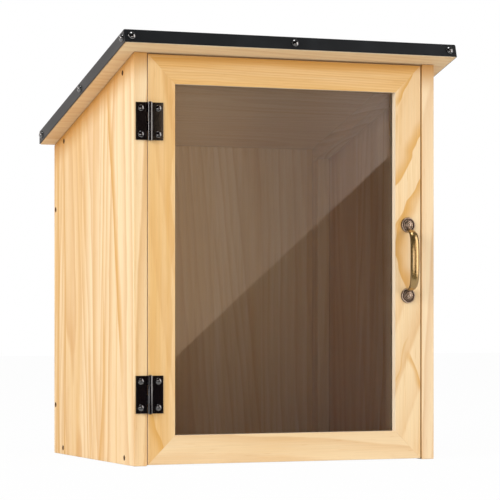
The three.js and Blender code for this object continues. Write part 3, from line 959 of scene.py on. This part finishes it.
# %% Roof sheet
SHEET_THICKNESS = 0.7 * MM
BEND_RADIUS = 1.4 * MM
BEND_STEPS = 4

pan_low, pan_high = local_box("roof_sheet", ROOF_TURN)
pan = block(pan_low, pan_high)
pick(pan, "face", lambda centre, normal: looks(normal, DOWN) or looks(normal, BACKWARD))
bpy.ops.mesh.delete(type="FACE")
put_down()


def is_fold(first, second):
    """The folds run round the top's front and sides, and down the two front corners."""
    middle = (first + second) / 2
    at_side = abs(middle.x) > pan_high.x - HAIR
    at_front = middle.y < pan_low.y + HAIR
    at_top = middle.z > pan_high.z - HAIR
    return at_side + at_front + at_top > 1


ease(pan, BEND_RADIUS, BEND_STEPS, wanted=is_fold)
modify(pan, "SOLIDIFY", thickness=SHEET_THICKNESS, offset=-1)
settle(pan, ROOF_TURN)
saw(pan, (0, REAR, 0), BACKWARD)
smooth(pan)
stand_in(pan, "roof_sheet", roof_finish)
print(pan.name, "has", len(pan.data.polygons), "faces")

# %% [markdown]
# ## Door frame, beads and pane
#
# The door is a picture frame: four members, mitred at the corners and rebated at the back for the pane.
# They differ only in length, so one function makes them all, lying along X with the outer edge on z = 0,
# and each is turned a quarter further round the door. The same function, with no rebate, makes the beads.
# The head of the door is planed to the roof's slope, so that it clears the deck as it swings.

# %% One side of a frame
MITRE_GAP = 0.1 * MM
NEAR_MITRE = 3 * MITRE_GAP


def mitred_member(length, width, depth, reveal, rebate, gap):
    """One side of a frame, with its front at y = 0 and a rebate along its inner back edge."""
    member = block((0, 0, 0), (length, reveal, width))
    if rebate:
        score(member, (0, 0, width - rebate), UP)
        pick(member, "face", lambda centre, normal: looks(normal, BACKWARD) and centre.z < width - rebate)
        bpy.ops.mesh.extrude_region_move(TRANSFORM_OT_translate={"value": (0, depth - reveal, 0)})
        put_down()
    saw(member, (gap, 0, 0), (-1, 0, 1))
    saw(member, (length - gap, 0, 0), (1, 0, 1))
    return member


def off_the_mitres(low, high):
    """A test for edges that don't lie in the frame's mitres, which stay crisp and closed."""
    def on_mitre(point):
        from_sides = min(point.x - low.x, high.x - point.x), min(point.z - low.z, high.z - point.z)
        return abs(from_sides[0] - from_sides[1]) < NEAR_MITRE
    return lambda first, second: not (on_mitre(first) and on_mitre(second))


print(f"neighbours in a frame leave {MITRE_GAP / MM:.1f} mm between their mitres")

# %% Going round a frame


def frame_of(nodes):
    """How wide and deep a frame's sides are, and its lowest and highest corners."""
    left_low, left_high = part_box(nodes["left"])
    low = Vector((left_low.x, left_low.y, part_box(nodes["bottom"])[0].z))
    high = Vector((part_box(nodes["right"])[1].x, left_high.y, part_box(nodes["top"])[1].z))
    return left_high.x - left_low.x, left_high.y - left_low.y, low, high


def round_the_window(low, high):
    """Name, corner, turn and length of each side of a frame, going round it from the foot."""
    width, height = high.x - low.x, high.z - low.z
    return [
        ("bottom", Vector((low.x, low.y, low.z)), 0, width),
        ("right", Vector((high.x, low.y, low.z)), -90, height),
        ("top", Vector((high.x, low.y, high.z)), 180, width),
        ("left", Vector((low.x, low.y, high.z)), 90, height),
    ]


def side_turn(corner, degrees):
    return Matrix.Translation(corner) @ Matrix.Rotation(math.radians(degrees), 4, "Y")


MEMBER_NODES = {
    "bottom": "door_bottom_rail", "right": "door_right_stile",
    "top": "door_top_rail", "left": "door_left_stile",
}
member_width, door_depth, door_low, door_high = frame_of(MEMBER_NODES)
print("the door spans", [round(value / MM, 1) for value in door_high - door_low], "mm")

# %% Door members
DOOR_ARRIS = 0.8 * MM
REVEAL_DEPTH = 7.5 * MM
REBATE_WIDTH = 7 * MM
# How far down the painted shade under the roof reaches on the door
EAVE_SHADE_HEAD = 12 * MM
MEMBER_WOOD = {
    "bottom": {
        "grain": "x", "pith": (0.02, 0.03), "lean": 0.08, "seed": 21, "gap": 10 * MM, "figure": 0.8,
        "warm": -0.45, "raw": 0.05,
    },
    "right": {
        "grain": "z", "pith": (-0.06, 0.01), "lean": 0.4, "seed": 22, "gap": 26 * MM,
        "warm": -0.25, "wander": 1.0,
        "lines": [
            (0, 184, 0.5, 0, -12, 26, 0.95), (3, 108, 0.55, 0, -15, 62, 0.9),
            (2, 66, 0.57, 0, 14, 46, 0.9), (-14, 14, 0, 0.007, 18, 62, 0.9),
            (11, -115, -0.41, 0, -8, 24, 0.8), (-10, -112, 0.29, 0, 2.5, 40, 0.6),
        ],
    },
    "top": {
        "grain": "x", "pith": (0.06, 0.02), "lean": 0.02, "seed": 23, "gap": 2.4 * MM, "sway": 0.006,
        "curl": 0.003, "figure": 1.5, "warm": 0.45, "lines": [(-16, 0, 0, 0, 13, 900, 1.0)],
    },
    "left": {
        "grain": "z", "pith": (0.05, 0.02), "lean": -0.16, "seed": 24, "gap": 17 * MM,
        "warm": 0.22, "wander": 0.6,
        "lines": [(-5, -168, -0.4, 0, -12, 44, 0.9), (11, 30, 0, 0, -10, 220, 0.4)],
    },
}

for place, corner, degrees, length in round_the_window(door_low, door_high):
    node = MEMBER_NODES[place]
    member = mitred_member(length, member_width, door_depth, REVEAL_DEPTH, REBATE_WIDTH, MITRE_GAP / 2)
    settle(member, side_turn(corner, degrees))
    if place != "bottom":
        saw(member, (0, door_low.y, door_high.z), UP_THE_ROOF)
    ease(member, DOOR_ARRIS, wanted=off_the_mitres(door_low, door_high))
    face_outwards(member)
    smooth(member)
    # The top rail and stiles get painted shade under the roof; the bottom rail gets none.
    eave_shade_depth = 0.0 if place == "bottom" else EAVE_SHADE_HEAD
    # Each member's edges and reveals are paled as a painted highlight.
    stand_in(member, node, pine(node, wide="x", edge=-0.6, eave_shade_depth=eave_shade_depth, **MEMBER_WOOD[place]))
    print(member.name, "has", len(member.data.polygons), "faces")

# %% Glazing beads and pane
BEAD_CHAMFER = 2.2 * MM
BEAD_ARRIS = 0.25 * MM
BEAD_NODES = {place: f"glazing_bead_{place}" for place in MEMBER_NODES}
BEAD_GRAINS = {"bottom": "x", "right": "z", "top": "x", "left": "z"}
bead_width, bead_depth, bead_low, bead_high = frame_of(BEAD_NODES)


def is_inner_back(first, second):
    at_back = min(first.y, second.y) > bead_depth - HAIR
    return at_back and min(first.z, second.z) > bead_width - HAIR


for seed, (place, corner, degrees, length) in enumerate(round_the_window(bead_low, bead_high), start=31):
    node = BEAD_NODES[place]
    bead = mitred_member(length, bead_width, bead_depth, bead_depth, 0, MITRE_GAP)
    ease(bead, BEAD_CHAMFER, rounds=1, wanted=is_inner_back)
    ease(bead, BEAD_ARRIS)
    settle(bead, side_turn(corner, degrees))
    smooth(bead)
    # The raw share greys the beads, partly as painted shade inside.
    stand_in(bead, node, pine(node, BEAD_GRAINS[place], "x", pith=PLAIN_PITH, seed=seed, raw=0.2))

pane = block(*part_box("glazing_pane"))
ease(pane, BEAD_ARRIS, rounds=1)
stand_in(pane, "glazing_pane", pane_finish)
print("four beads hold a pane", [round(value / MM, 1) for value in pane.dimensions], "mm in size")

# %% [markdown]
# ## Screws
#
# Each kind of screw is one model, turned on its seat with its head up, and a cross recess is cut in it.
# The plus-shaped cutter is a small block whose four sides are pulled out and whose foot is drawn in.
# The copies then go where the solids' screws are. Nobody stops a driver at the same angle twice,
# so each copy is turned a little differently, from a fixed seed.

# %% Screw models
DOME_STEPS = 7
CROSS_REACH_SHARE = 0.5
CROSS_WIDTH_SHARE = 0.2
CROSS_DEPTH_SHARE = 0.62
BIT_FOOT_SHARE = 0.5
TIP_SHARE = 0.3
THREAD_SHARE = 0.8
ROUND_DEGREES = 40


def cross_cutter(radius, top, depth):
    """A plus-shaped driver bit that reaches down from the top of a head."""
    half = radius * CROSS_WIDTH_SHARE / 2
    bit = block((-half, -half, top - depth), (half, half, top + depth))
    pick(bit, "face", lambda centre, normal: not looks(normal, UP) and not looks(normal, DOWN))
    arm = radius * CROSS_REACH_SHARE - half
    bpy.ops.mesh.extrude_faces_move(TRANSFORM_OT_shrink_fatten={"value": arm})
    put_down()
    pick(bit, "point", lambda place: place.z < top)
    bpy.ops.transform.resize(value=(BIT_FOOT_SHARE, BIT_FOOT_SHARE, 1), center_override=(0, 0, top - depth))
    put_down()
    return bit


def screw_model(node, direction, head_height, shank_radius, flat=False):
    """A screw with the head radius and length of a node, and a cross recess in its head."""
    low, high = local_box(node, outward_turn((0, 0, 0), direction))
    radius, length = (high.x - low.x) / 2, high.z - low.z - head_height
    stem = [(shank_radius * TIP_SHARE, -length), (shank_radius, -length * THREAD_SHARE), (shank_radius, 0)]
    if flat:
        head = [(radius, head_height)]
    else:
        bends = [math.pi / 2 * step / DOME_STEPS for step in range(DOME_STEPS)]
        head = [(radius * math.cos(bend), head_height * math.sin(bend)) for bend in bends]
        head += [(0, head_height)]
    screw = turned(stem + head)
    carve(screw, cross_cutter(radius, head_height, head_height * CROSS_DEPTH_SHARE))
    smooth(screw, ROUND_DEGREES)
    return screw


print(f"a dome head rises in {DOME_STEPS} steps")

# %% Setting screws
random.seed(4)


def set_screws(nodes, direction, finish, head_height, shank_radius, flat=False):
    """Make one screw as a model, and put a copy of it at each node, facing one way."""
    model = screw_model(nodes[0], direction, head_height, shank_radius, flat)
    top = max(vertex.co.z for vertex in model.data.vertices)
    for node in nodes:
        turn = outward_turn((0, 0, 0), direction)
        low, high = local_box(node, turn)
        seat = Matrix.Translation(((low.x + high.x) / 2, (low.y + high.y) / 2, high.z - top))
        driven = Matrix.Rotation(random.uniform(0, math.pi / 2), 4, "Z")
        stand_in(placed(model, turn @ seat @ driven), node, finish)
    put_away(model)
    print(len(nodes), "screws face", tuple(round(value, 2) for value in direction))


# %% Roof screws
ROOF_HEAD = 2.6 * MM
ROOF_SHANK = 1.1 * MM
down_the_front = ROOF_TURN.to_3x3() @ Vector(FORWARD)
roof_rows = {
    "front": (down_the_front, ("left", "middle", "right")),
    "left": (LEFT, ("front", "middle", "rear")),
    "right": (RIGHT, ("front", "middle", "rear")),
}
for row, (direction, places) in roof_rows.items():
    nodes = [f"roof_{row}_screw_{place}" for place in places]
    set_screws(nodes, direction, dome_finish, ROOF_HEAD, ROOF_SHANK)

# %% Trim screws in the side boards
TRIM_HEAD = 2.0 * MM
TRIM_SHANK = 1.2 * MM

for side, direction in SIDES.items():
    nodes = [f"{side}_{name}_screw" for name in SIDE_SCREWS]
    set_screws(nodes, direction, brown_finish, TRIM_HEAD, TRIM_SHANK, flat=True)
    model = screw_model(nodes[0], direction, TRIM_HEAD, TRIM_SHANK, flat=True)
    for level, place in zip(("upper", "lower"), side_screw_places(side)[-2:]):
        sunk = place - Vector(direction) * (SEAT_DEPTH + TRIM_HEAD)
        screw = placed(model, outward_turn(sunk, direction))
        screw.name = f"{side}_back_edge_screw_{level}"
        screw.data.materials.append(brown_finish)
        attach(screw, homes["back_panel"])
    put_away(model)

# %% [markdown]
# ## Butt hinges
#
# A butt hinge leaf is stamped from strip steel, and its edge is curled round the pin to make the knuckles.
# A plain cylinder beside a plate would leave out the curl, which is what catches the two bright lines.
# So the leaf is made as the press makes it: the plate's edge is split at the knuckles, every second part
# is drawn out to the pin's middle line, and Spin rolls it round the pin.
# The leaf on the cabinet is the same leaf turned half round, so its knuckles fall in the other's gaps.

# %% Hinge leaf
KNUCKLES = 4
KNUCKLE_GAP = 0.3 * MM
LEAF_THICKNESS = 1.2 * MM
CURL = math.radians(292)
CURL_STEPS = 20
LEAF_ARRIS = 0.2 * MM


def hinge_leaf(pin, node):
    """The door's leaf, with the pin's axis on Z through the origin."""
    low, high = (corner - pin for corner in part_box(node))
    barrel, plate_front = -low.y, high.y - LEAF_THICKNESS
    clear = barrel + KNUCKLE_GAP
    pitch = (high.z - low.z + KNUCKLE_GAP) / KNUCKLES
    own = [(low.z + i * pitch, low.z + (i + 1) * pitch - KNUCKLE_GAP) for i in range(0, KNUCKLES, 2)]

    def is_knuckle_root(centre, normal):
        return looks(normal, LEFT) and any(foot < centre.z < head for foot, head in own)

    def is_rim(first, second):
        at_end = min(abs(first.z), abs(second.z)) > high.z - HAIR
        at_side = min(first.x, second.x) > high.x - HAIR
        return min(first.x, second.x) > clear - HAIR and (at_end or at_side)

    leaf = block((clear, plate_front, low.z), (high.x, high.y, high.z))
    for foot, head in own:
        score(leaf, (0, 0, foot), UP)
        score(leaf, (0, 0, head), UP)
    pick(leaf, "face", is_knuckle_root)
    bpy.ops.mesh.extrude_region_move(TRANSFORM_OT_translate={"value": (-clear, 0, 0)})
    thinner = (barrel - plate_front) / LEAF_THICKNESS
    bpy.ops.transform.resize(value=(1, thinner, 1), center_override=(0, plate_front, 0))
    bpy.ops.mesh.spin(steps=CURL_STEPS, angle=CURL, center=(0, 0, 0), axis=UP)
    put_down()
    face_outwards(leaf)
    ease(leaf, LEAF_ARRIS, wanted=is_rim)
    smooth(leaf, ROUND_DEGREES)
    return leaf


print(f"a strip {LEAF_THICKNESS / MM:.1f} mm thick is curled by {math.degrees(CURL):.0f} degrees")

# %% Hinge pins, and both hinges
PIN_RADIUS = 1.2 * MM
PIN_HEAD_RADIUS = 1.9 * MM
PIN_HEAD_HEIGHT = 0.8 * MM


def hinge_pin(node):
    low, high = (corner - middle_of(node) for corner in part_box(node))
    neck = high.z - PIN_HEAD_HEIGHT
    crown = [(PIN_HEAD_RADIUS, neck), (PIN_HEAD_RADIUS, high.z - PIN_HEAD_HEIGHT / 2), (PIN_RADIUS, high.z)]
    foot = [(radius, -height) for radius, height in reversed(crown)]
    pin = turned(foot + [(PIN_RADIUS, -neck), (PIN_RADIUS, neck)] + crown, sides=24)
    smooth(pin, ROUND_DEGREES)
    return pin


leaf = hinge_leaf(middle_of("upper_hinge_pin"), "upper_hinge_door_leaf")
pin = hinge_pin("upper_hinge_pin")
half_round = Matrix.Rotation(math.pi, 4, "Y")
for level in ("upper", "lower"):
    at_pin = Matrix.Translation(middle_of(f"{level}_hinge_pin"))
    stand_in(placed(leaf, at_pin), f"{level}_hinge_door_leaf", hinge_finish)
    stand_in(placed(leaf, at_pin @ half_round), f"{level}_hinge_fixed_leaf", hinge_finish)
    stand_in(placed(pin, at_pin), f"{level}_hinge_pin", hinge_finish)
print("each leaf has", len(leaf.data.polygons), "faces, and each pin", len(pin.data.polygons))
put_away(leaf, pin)

# %% Hinge screws
HINGE_HEAD = 1.2 * MM
HINGE_SHANK = 1.4 * MM
hinge_screws = [
    f"{level}_hinge_{leaf}_screw_{end}"
    for level in ("upper", "lower") for leaf in ("fixed", "door") for end in ("top", "bottom")
]
set_screws(hinge_screws, FORWARD, hinge_finish, HINGE_HEAD, HINGE_SHANK)

# %% [markdown]
# ## Bow pull
#
# The pull is one antique brass casting: two round feet with turned rings, and a flattened grip that bows out.
# A foot is turned like the screws, from its stepped profile.
# The grip starts as a small oval ring in one foot. The ring is extruded from station to station of the bow,
# and at each it is turned to face along the path and widened, so that the grip is fullest at its middle.
# A subdivision surface then rounds it. That draws each ring in by a known share, so the ring starts larger.

# %% Grip stations
HANDLE_SPACING = 74 * MM
PROJECTION = 17 * MM
GRIP_END_SHARE = 0.6
GRIP_FILLING = 1.6

# Each station: how far out and how far up it lies, as shares of the projection and of half the spacing
LOWER_HALF = [
    (0.02, -0.83), (0.2, -0.84), (0.4, -0.828), (0.6, -0.795), (0.78, -0.73), (0.92, -0.62), (0.985, -0.42),
]
STATIONS = LOWER_HALF + [(1.0, 0.0)] + [(out, -up) for out, up in reversed(LOWER_HALF)]

handle_middle = middle_of("door_handle")
handle_middle.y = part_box("door_handle")[1].y
path = [handle_middle + Vector((0, -out * PROJECTION, up * HANDLE_SPACING / 2)) for out, up in STATIONS]


def heading(index):
    """The angle at which the path runs at a station: 0 is straight up, 90 degrees straight out."""
    step = path[min(index + 1, len(path) - 1)] - path[max(index - 1, 0)]
    return math.atan2(-step.y, step.z)


def fullness(index):
    """The size of the ring at a station, as a share of the grip's full size."""
    along = index / (len(path) - 1)
    return GRIP_END_SHARE + (1 - GRIP_END_SHARE) * math.sin(along * math.pi) ** GRIP_FILLING


print(f"{len(path)} stations from {path[0].z / MM:.1f} to {path[-1].z / MM:.1f} mm up")

# %% Grip
GRIP_HALF_WIDTH = 5.1 * MM
GRIP_HALF_THICKNESS = 2.8 * MM
RING_SIDES = 16
DRAWN_IN = (4 + 2 * math.cos(2 * math.pi / RING_SIDES)) / 6

bpy.ops.mesh.primitive_circle_add(vertices=RING_SIDES, radius=1, fill_type="NGON")
grip = bpy.context.object
first_size = fullness(0) / DRAWN_IN
grip.scale = (GRIP_HALF_WIDTH * first_size, GRIP_HALF_THICKNESS * first_size, 1)
bpy.ops.object.transform_apply(location=True, rotation=True, scale=True)
settle(grip, Matrix.Translation(path[0]) @ Matrix.Rotation(heading(0), 4, "X"))
pick(grip, "face", everywhere)
for index in range(1, len(path)):
    bpy.ops.mesh.extrude_region_move(TRANSFORM_OT_translate={"value": path[index] - path[index - 1]})
    bend = heading(index) - heading(index - 1)
    bpy.ops.transform.rotate(value=-bend, orient_axis="X", center_override=path[index])
    ratio = fullness(index) / fullness(index - 1)
    bpy.ops.transform.resize(value=(ratio, ratio, ratio), center_override=path[index])
put_down()
face_outwards(grip)
modify(grip, "SUBSURF", levels=2, render_levels=2)
print("the grip spans", [round(value / MM, 1) for value in grip.dimensions], "mm")

# %% Ringed feet, joined to the grip
# The radius and height of each step of a foot, in mm, from its edge to its middle
FOOT_PROFILE = [
    (8.0, 0.0), (8.0, 0.7), (7.8, 1.4), (7.3, 1.8), (6.8, 1.75), (6.4, 1.2), (6.2, 0.6),
    (5.8, 0.6), (5.6, 1.2), (5.2, 1.75), (4.8, 1.75), (4.5, 1.3), (4.35, 0.9), (4.2, 0.9),
    (4.1, 2.2), (3.8, 2.9), (3.4, 3.0), (3.1, 2.7), (2.8, 2.7),
]
FOOT_RADIUS = FOOT_PROFILE[0][0] * MM
CAST_DEGREES = 50

feet_places = [handle_middle + Vector((0, 0, end * HANDLE_SPACING / 2)) for end in (-1, 1)]
pull = grip
foot = turned([(radius * MM, height * MM) for radius, height in FOOT_PROFILE], sides=48)
for place in feet_places:
    carve(pull, placed(foot, outward_turn(place, FORWARD)), "UNION")
put_away(foot)
smooth(pull, CAST_DEGREES)
brass_finish = antique_brass(feet_places, FOOT_RADIUS, handle_middle.y)
stand_in(pull, "door_handle", brass_finish)
print(pull.name, "has", len(pull.data.polygons), "faces")

# %% Screws of the pull
HANDLE_HEAD = 1.3 * MM
HANDLE_SHANK = 1.5 * MM
handle_screws = ["handle_screw_upper", "handle_screw_lower"]
set_screws(handle_screws, FORWARD, brass_finish, HANDLE_HEAD, HANDLE_SHANK)

# %% [markdown]
# ## Magnetic catch and strike plate
#
# A small moulded body on the right side board holds a magnet, and a zinc-plated steel plate on the stile
# meets it. The plate could be glued on as a bare block, but a stamped strike has rounded ends and
# a countersunk hole, so it gets both, and the body gets moulded corners and a pocket for the magnet.

# %% Catch
MOULD_RADIUS = 0.9 * MM
MAGNET_ROOM = 0.1 * MM
MAGNET_ARRIS = 0.5 * MM
CATCH_HEAD = 1.4 * MM
CATCH_SHANK = 1.2 * MM

catch = block(*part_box("catch_body"))
ease(catch, MOULD_RADIUS, rounds=3)
magnet_low, magnet_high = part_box("catch_magnet")
room = Vector((MAGNET_ROOM, MAGNET_ROOM, MAGNET_ROOM))
mouth = Vector(FORWARD) * MM
carve(catch, block(magnet_low - room + mouth, magnet_high + room))
smooth(catch)
stand_in(catch, "catch_body", plastic_finish)
magnet = block(magnet_low, magnet_high)
ease(magnet, MAGNET_ARRIS)
smooth(magnet)
stand_in(magnet, "catch_magnet", magnet_finish)
set_screws(["catch_screw_upper", "catch_screw_lower"], LEFT, zinc_finish, CATCH_HEAD, CATCH_SHANK)

# %% Strike plate
STRIKE_HEAD = 1.6 * MM
STRIKE_SHANK = 1.2 * MM
STRIKE_CORNER = 3.5 * MM
STRIKE_ARRIS = 0.2 * MM


def is_corner(first, second):
    """The plate's four corners are the edges that run through its thickness."""
    return abs(first.y - second.y) > HAIR


strike = block(*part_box("strike_plate"))
ease(strike, STRIKE_CORNER, rounds=6, wanted=is_corner)
ease(strike, STRIKE_ARRIS, wanted=lambda first, second: not is_corner(first, second))
screw_low, screw_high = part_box("strike_screw")
screw_radius = (screw_high.x - screw_low.x) / 2
sink = turned([
    (STRIKE_SHANK, -STRIKE_HEAD - MM), (STRIKE_SHANK, -STRIKE_HEAD), (screw_radius, 0), (screw_radius, MM),
])
screw_middle = middle_of("strike_screw")
settle(sink, outward_turn((screw_middle.x, screw_high.y, screw_middle.z), BACKWARD))
carve(strike, sink)
smooth(strike)
stand_in(strike, "strike_plate", zinc_finish)
set_screws(["strike_screw"], BACKWARD, zinc_finish, STRIKE_HEAD, STRIKE_SHANK, flat=True)
print(strike.name, "has", len(strike.data.polygons), "faces")

# %% [markdown]
# ## Camera
#
# A catalogue picture is taken from far off with a long lens, so that upright edges stay upright.
# The camera stands low and looks level, and the lens is shifted up, as with a view camera.
# Blender's usual view curve greys bright colours, so the plain one is chosen: a colour then shows as written.

# %% Camera
CAMERA_PLACE = (-0.9813, -2.4020, 0.1527)
VIEW_TURN = math.radians(22.46)
FOCAL_SHARE = 4.8208
HORIZON_SHARE = 0.1277
SENSOR = 36.0

bpy.ops.object.camera_add(location=CAMERA_PLACE, rotation=(math.pi / 2, 0, -VIEW_TURN))
camera = bpy.context.object
camera.name = "catalogue_camera"
camera.data.sensor_width = SENSOR
camera.data.lens = FOCAL_SHARE * SENSOR
camera.data.shift_y = HORIZON_SHARE
bpy.context.scene.camera = camera
bpy.context.scene.view_settings.view_transform = "Standard"
print(f"a {camera.data.lens:.1f} mm lens, {camera.location.length:.2f} m away")

# %% [markdown]
# ## Floor and world
#
# The picture has a white ground with a soft shadow. A white floor alone would come out grey round the box,
# so the camera sees it glow a little by itself: the ground stays white, and the shadow stays too.
# The world is white where the camera looks at it, also through the pane. As a lamp it is much dimmer,
# so that the pale wood doesn't wash out, and in reflections it is almost dark, which keeps black paint black.

# %% Floor and world
FLOOR_SIDE = 12
FLOOR_PAPER = paint(224, 224, 224)
FLOOR_GLOW = 0.97
AMBIENT = 0.47
MIRRORED = 0.15


def ray(start, kind):
    """1 where the light path that arrives is of one kind, and 0 elsewhere."""
    return start.add("LightPath", {}, {}, output=f"Is {kind} Ray")


bpy.ops.mesh.primitive_plane_add(size=FLOOR_SIDE)
floor = bpy.context.object
floor.name = "studio_floor"
floor_finish, start = new_finish("studio_floor_paper")
paper = start.add("BsdfDiffuse", {}, {"Color": FLOOR_PAPER})
glow = start.add("Emission", {}, {"Strength": 1.0})
start.add("MixShader", {}, {0: ray(start, "Camera") * FLOOR_GLOW, 1: paper, 2: glow}).close()
floor.data.materials.append(floor_finish)

world = bpy.data.worlds.new("studio_world")
bpy.context.scene.world = world
world.use_nodes = True
world.node_tree.nodes.clear()
start = Wire(world.node_tree)
strength = ray(start, "Camera") * (1 - AMBIENT) + ray(start, "Glossy") * (MIRRORED - AMBIENT) + AMBIENT
start.add("Background", {}, {"Color": paint(255, 255, 255), "Strength": strength}).close("OutputWorld")
print("floor and world are white to the camera")

# %% [markdown]
# ## Lamps, and what the pane reflects
#
# Wood, black paint and brass all want broad soft light. A large lamp at the front left is the key,
# a weaker one fills from the right, and a third lies overhead. Only the overhead lamp shows in reflections.
#
# A pane, black paint and brass show what stands round them. A photographer hangs a dark card in front,
# soft boxes that draw bright lines down the round metal, and a bright card with a slanting edge, which is
# the sheen across the pane. Only reflections see them, so they neither hide the cabinet nor shade it.

# %% Lamps
# Each lamp: its place and width in metres, and its power in watts
LAMPS = {
    "key_lamp": ((-3.0, -1.5, 1.5), 2.0, 86.0),
    "fill_lamp": ((2.4, -2.2, 0.8), 1.6, 34.0),
    "top_lamp": ((-0.2, -0.6, 2.8), 1.1, 18.0),
}
middle = Vector((0, 0, FRONT_HEIGHT / 2))

for name, (place, size, power) in LAMPS.items():
    aim = (middle - Vector(place)).to_track_quat("-Z", "Y").to_euler()
    bpy.ops.object.light_add(type="AREA", location=place, rotation=aim)
    lamp = bpy.context.object
    lamp.name = name
    lamp.data.shape = "DISK"
    lamp.data.size = size
    lamp.data.energy = power
    lamp.visible_glossy = name == "top_lamp"
print(len(LAMPS), "lamps are hung")

# %% Dark cards
CARD_PLANE = -1.5
CARD_LEFT, CARD_RIGHT, CARD_TOP = -1.6, 0.95, 2.0
CARD_REACH = 0.85
SIDE_CARD, SIDE_CARD_DEGREES = (-2.4, -0.75, 1.0), -70


def hang(name, middle, width, height, finish, degrees=0):
    """An upright card that faces the box, or is turned from that about Z, and that only reflections see."""
    bpy.ops.mesh.primitive_plane_add(size=1)
    card = bpy.context.object
    card.name = name
    upright = Matrix.Rotation(math.radians(degrees), 4, "Z") @ Matrix.Rotation(math.pi / 2, 4, "X")
    settle(card, Matrix.Translation(middle) @ upright @ Matrix.Diagonal((width, height, 1, 1)))
    card.data.materials.append(finish)
    card.visible_camera = card.visible_diffuse = False
    card.visible_transmission = card.visible_shadow = False
    return card


black_card, start = new_finish("black_card")
start.add("BsdfDiffuse", {}, {"Color": paint(20, 19, 18)}).close()
dark_card = hang(
    "dark_card", ((CARD_LEFT + CARD_RIGHT) / 2, CARD_PLANE, CARD_TOP / 2 + MM),
    CARD_RIGHT - CARD_LEFT, CARD_TOP, black_card,
)
pick(dark_card, "edge", lambda first, second: max(first.z, second.z) < 2 * MM)
bpy.ops.mesh.extrude_region_move(TRANSFORM_OT_translate={"value": (0, CARD_REACH, 0)})
put_down()
hang("side_card", SIDE_CARD, CARD_TOP, CARD_TOP, black_card, SIDE_CARD_DEGREES)
print("the dark card hangs down to the floor and runs on along it for", CARD_REACH, "m")

# %% Soft boxes
BOX_WHITE = paint(255, 248, 245)

# Each soft box: its middle, width and height in metres, its turn in degrees, and its strength
BOXES = {
    "left_box": ((-2.1, 0.2, 0.8), 0.6, 0.8, -95, 8.0),
    "right_box": ((1.42, -1.3, 0.8), 1.1, 1.8, 53, 3.2),
    "rear_box": ((-1.3, 2.4, 0.8), 1.6, 2.2, -155, 2.0),
    "handle_box": ((-0.23, -1.44, 0.24), 0.9, 0.24, 0, 3.0),
}

for name, (middle, width, height, degrees, strength) in BOXES.items():
    finish, start = new_finish(name)
    start.add("Emission", {}, {"Color": BOX_WHITE, "Strength": strength}).close()
    hang(name, middle, width, height, finish, degrees)
print(len(BOXES), "soft boxes stand round the cabinet")

# %% Bright card with a slanting edge
BRIGHT_PLANE = -1.45
SHEEN_LINE = ((391, 155), (175, 358))
SHEEN_CORNER = (172, 40)
IMAGE_SIDE = 500
SHEEN_GLOW_STRENGTH = 1.9

pane_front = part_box("glazing_pane")[0].y
mirrored_eye = Vector((camera.location.x, 2 * pane_front - camera.location.y, camera.location.z))


def reflected_place(pixel):
    """The place on the card's plane that the pane shows at a pixel of the image."""
    right = (pixel[0] / IMAGE_SIDE - 0.5) / FOCAL_SHARE
    up = (0.5 + HORIZON_SHARE - pixel[1] / IMAGE_SIDE) / FOCAL_SHARE
    sine, cosine = math.sin(VIEW_TURN), math.cos(VIEW_TURN)
    ray_way = Vector((sine + right * cosine, cosine - right * sine, up))
    on_pane = camera.location + ray_way * ((pane_front - camera.location.y) / ray_way.y)
    reach = (BRIGHT_PLANE - mirrored_eye.y) / (pane_front - mirrored_eye.y)
    return mirrored_eye + (on_pane - mirrored_eye) * reach


def sheen_card_glow(left, right):
    """The bright card's glow, which the pane shows as its sheen: warmer on the left, palest on the right,
    dimmer between.
    """
    finish, start = new_finish("bright_card")
    share = (start.surface().parts()[0] - left) / (right - left)
    colour = share.ramp(0.0, 0.5).blend(paint(246, 213, 176), paint(184, 168, 154))
    colour = share.ramp(0.55, 1.0).blend(colour, paint(255, 236, 222))
    start.add("Emission", {}, {"Color": colour, "Strength": SHEEN_GLOW_STRENGTH}).close()
    return finish


head_end, foot_end = (reflected_place(pixel) for pixel in SHEEN_LINE)
corner = reflected_place(SHEEN_CORNER)
slant = (head_end - foot_end).normalized()
bright_card = hang(
    "bright_card", ((corner.x + head_end.x) / 2, BRIGHT_PLANE, (corner.z + foot_end.z) / 2),
    head_end.x - corner.x, corner.z - foot_end.z, sheen_card_glow(corner.x, head_end.x),
)
saw(bright_card, foot_end, (slant.z, 0, -slant.x))
print("the bright card spans", [round(value, 2) for value in (*corner.xz, *head_end.xz)])

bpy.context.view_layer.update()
pieces = [piece for piece in bpy.data.objects if piece.name.endswith("_finished")]
print(len(pieces), "finished pieces,", sum(len(piece.data.polygons) for piece in pieces), "faces")
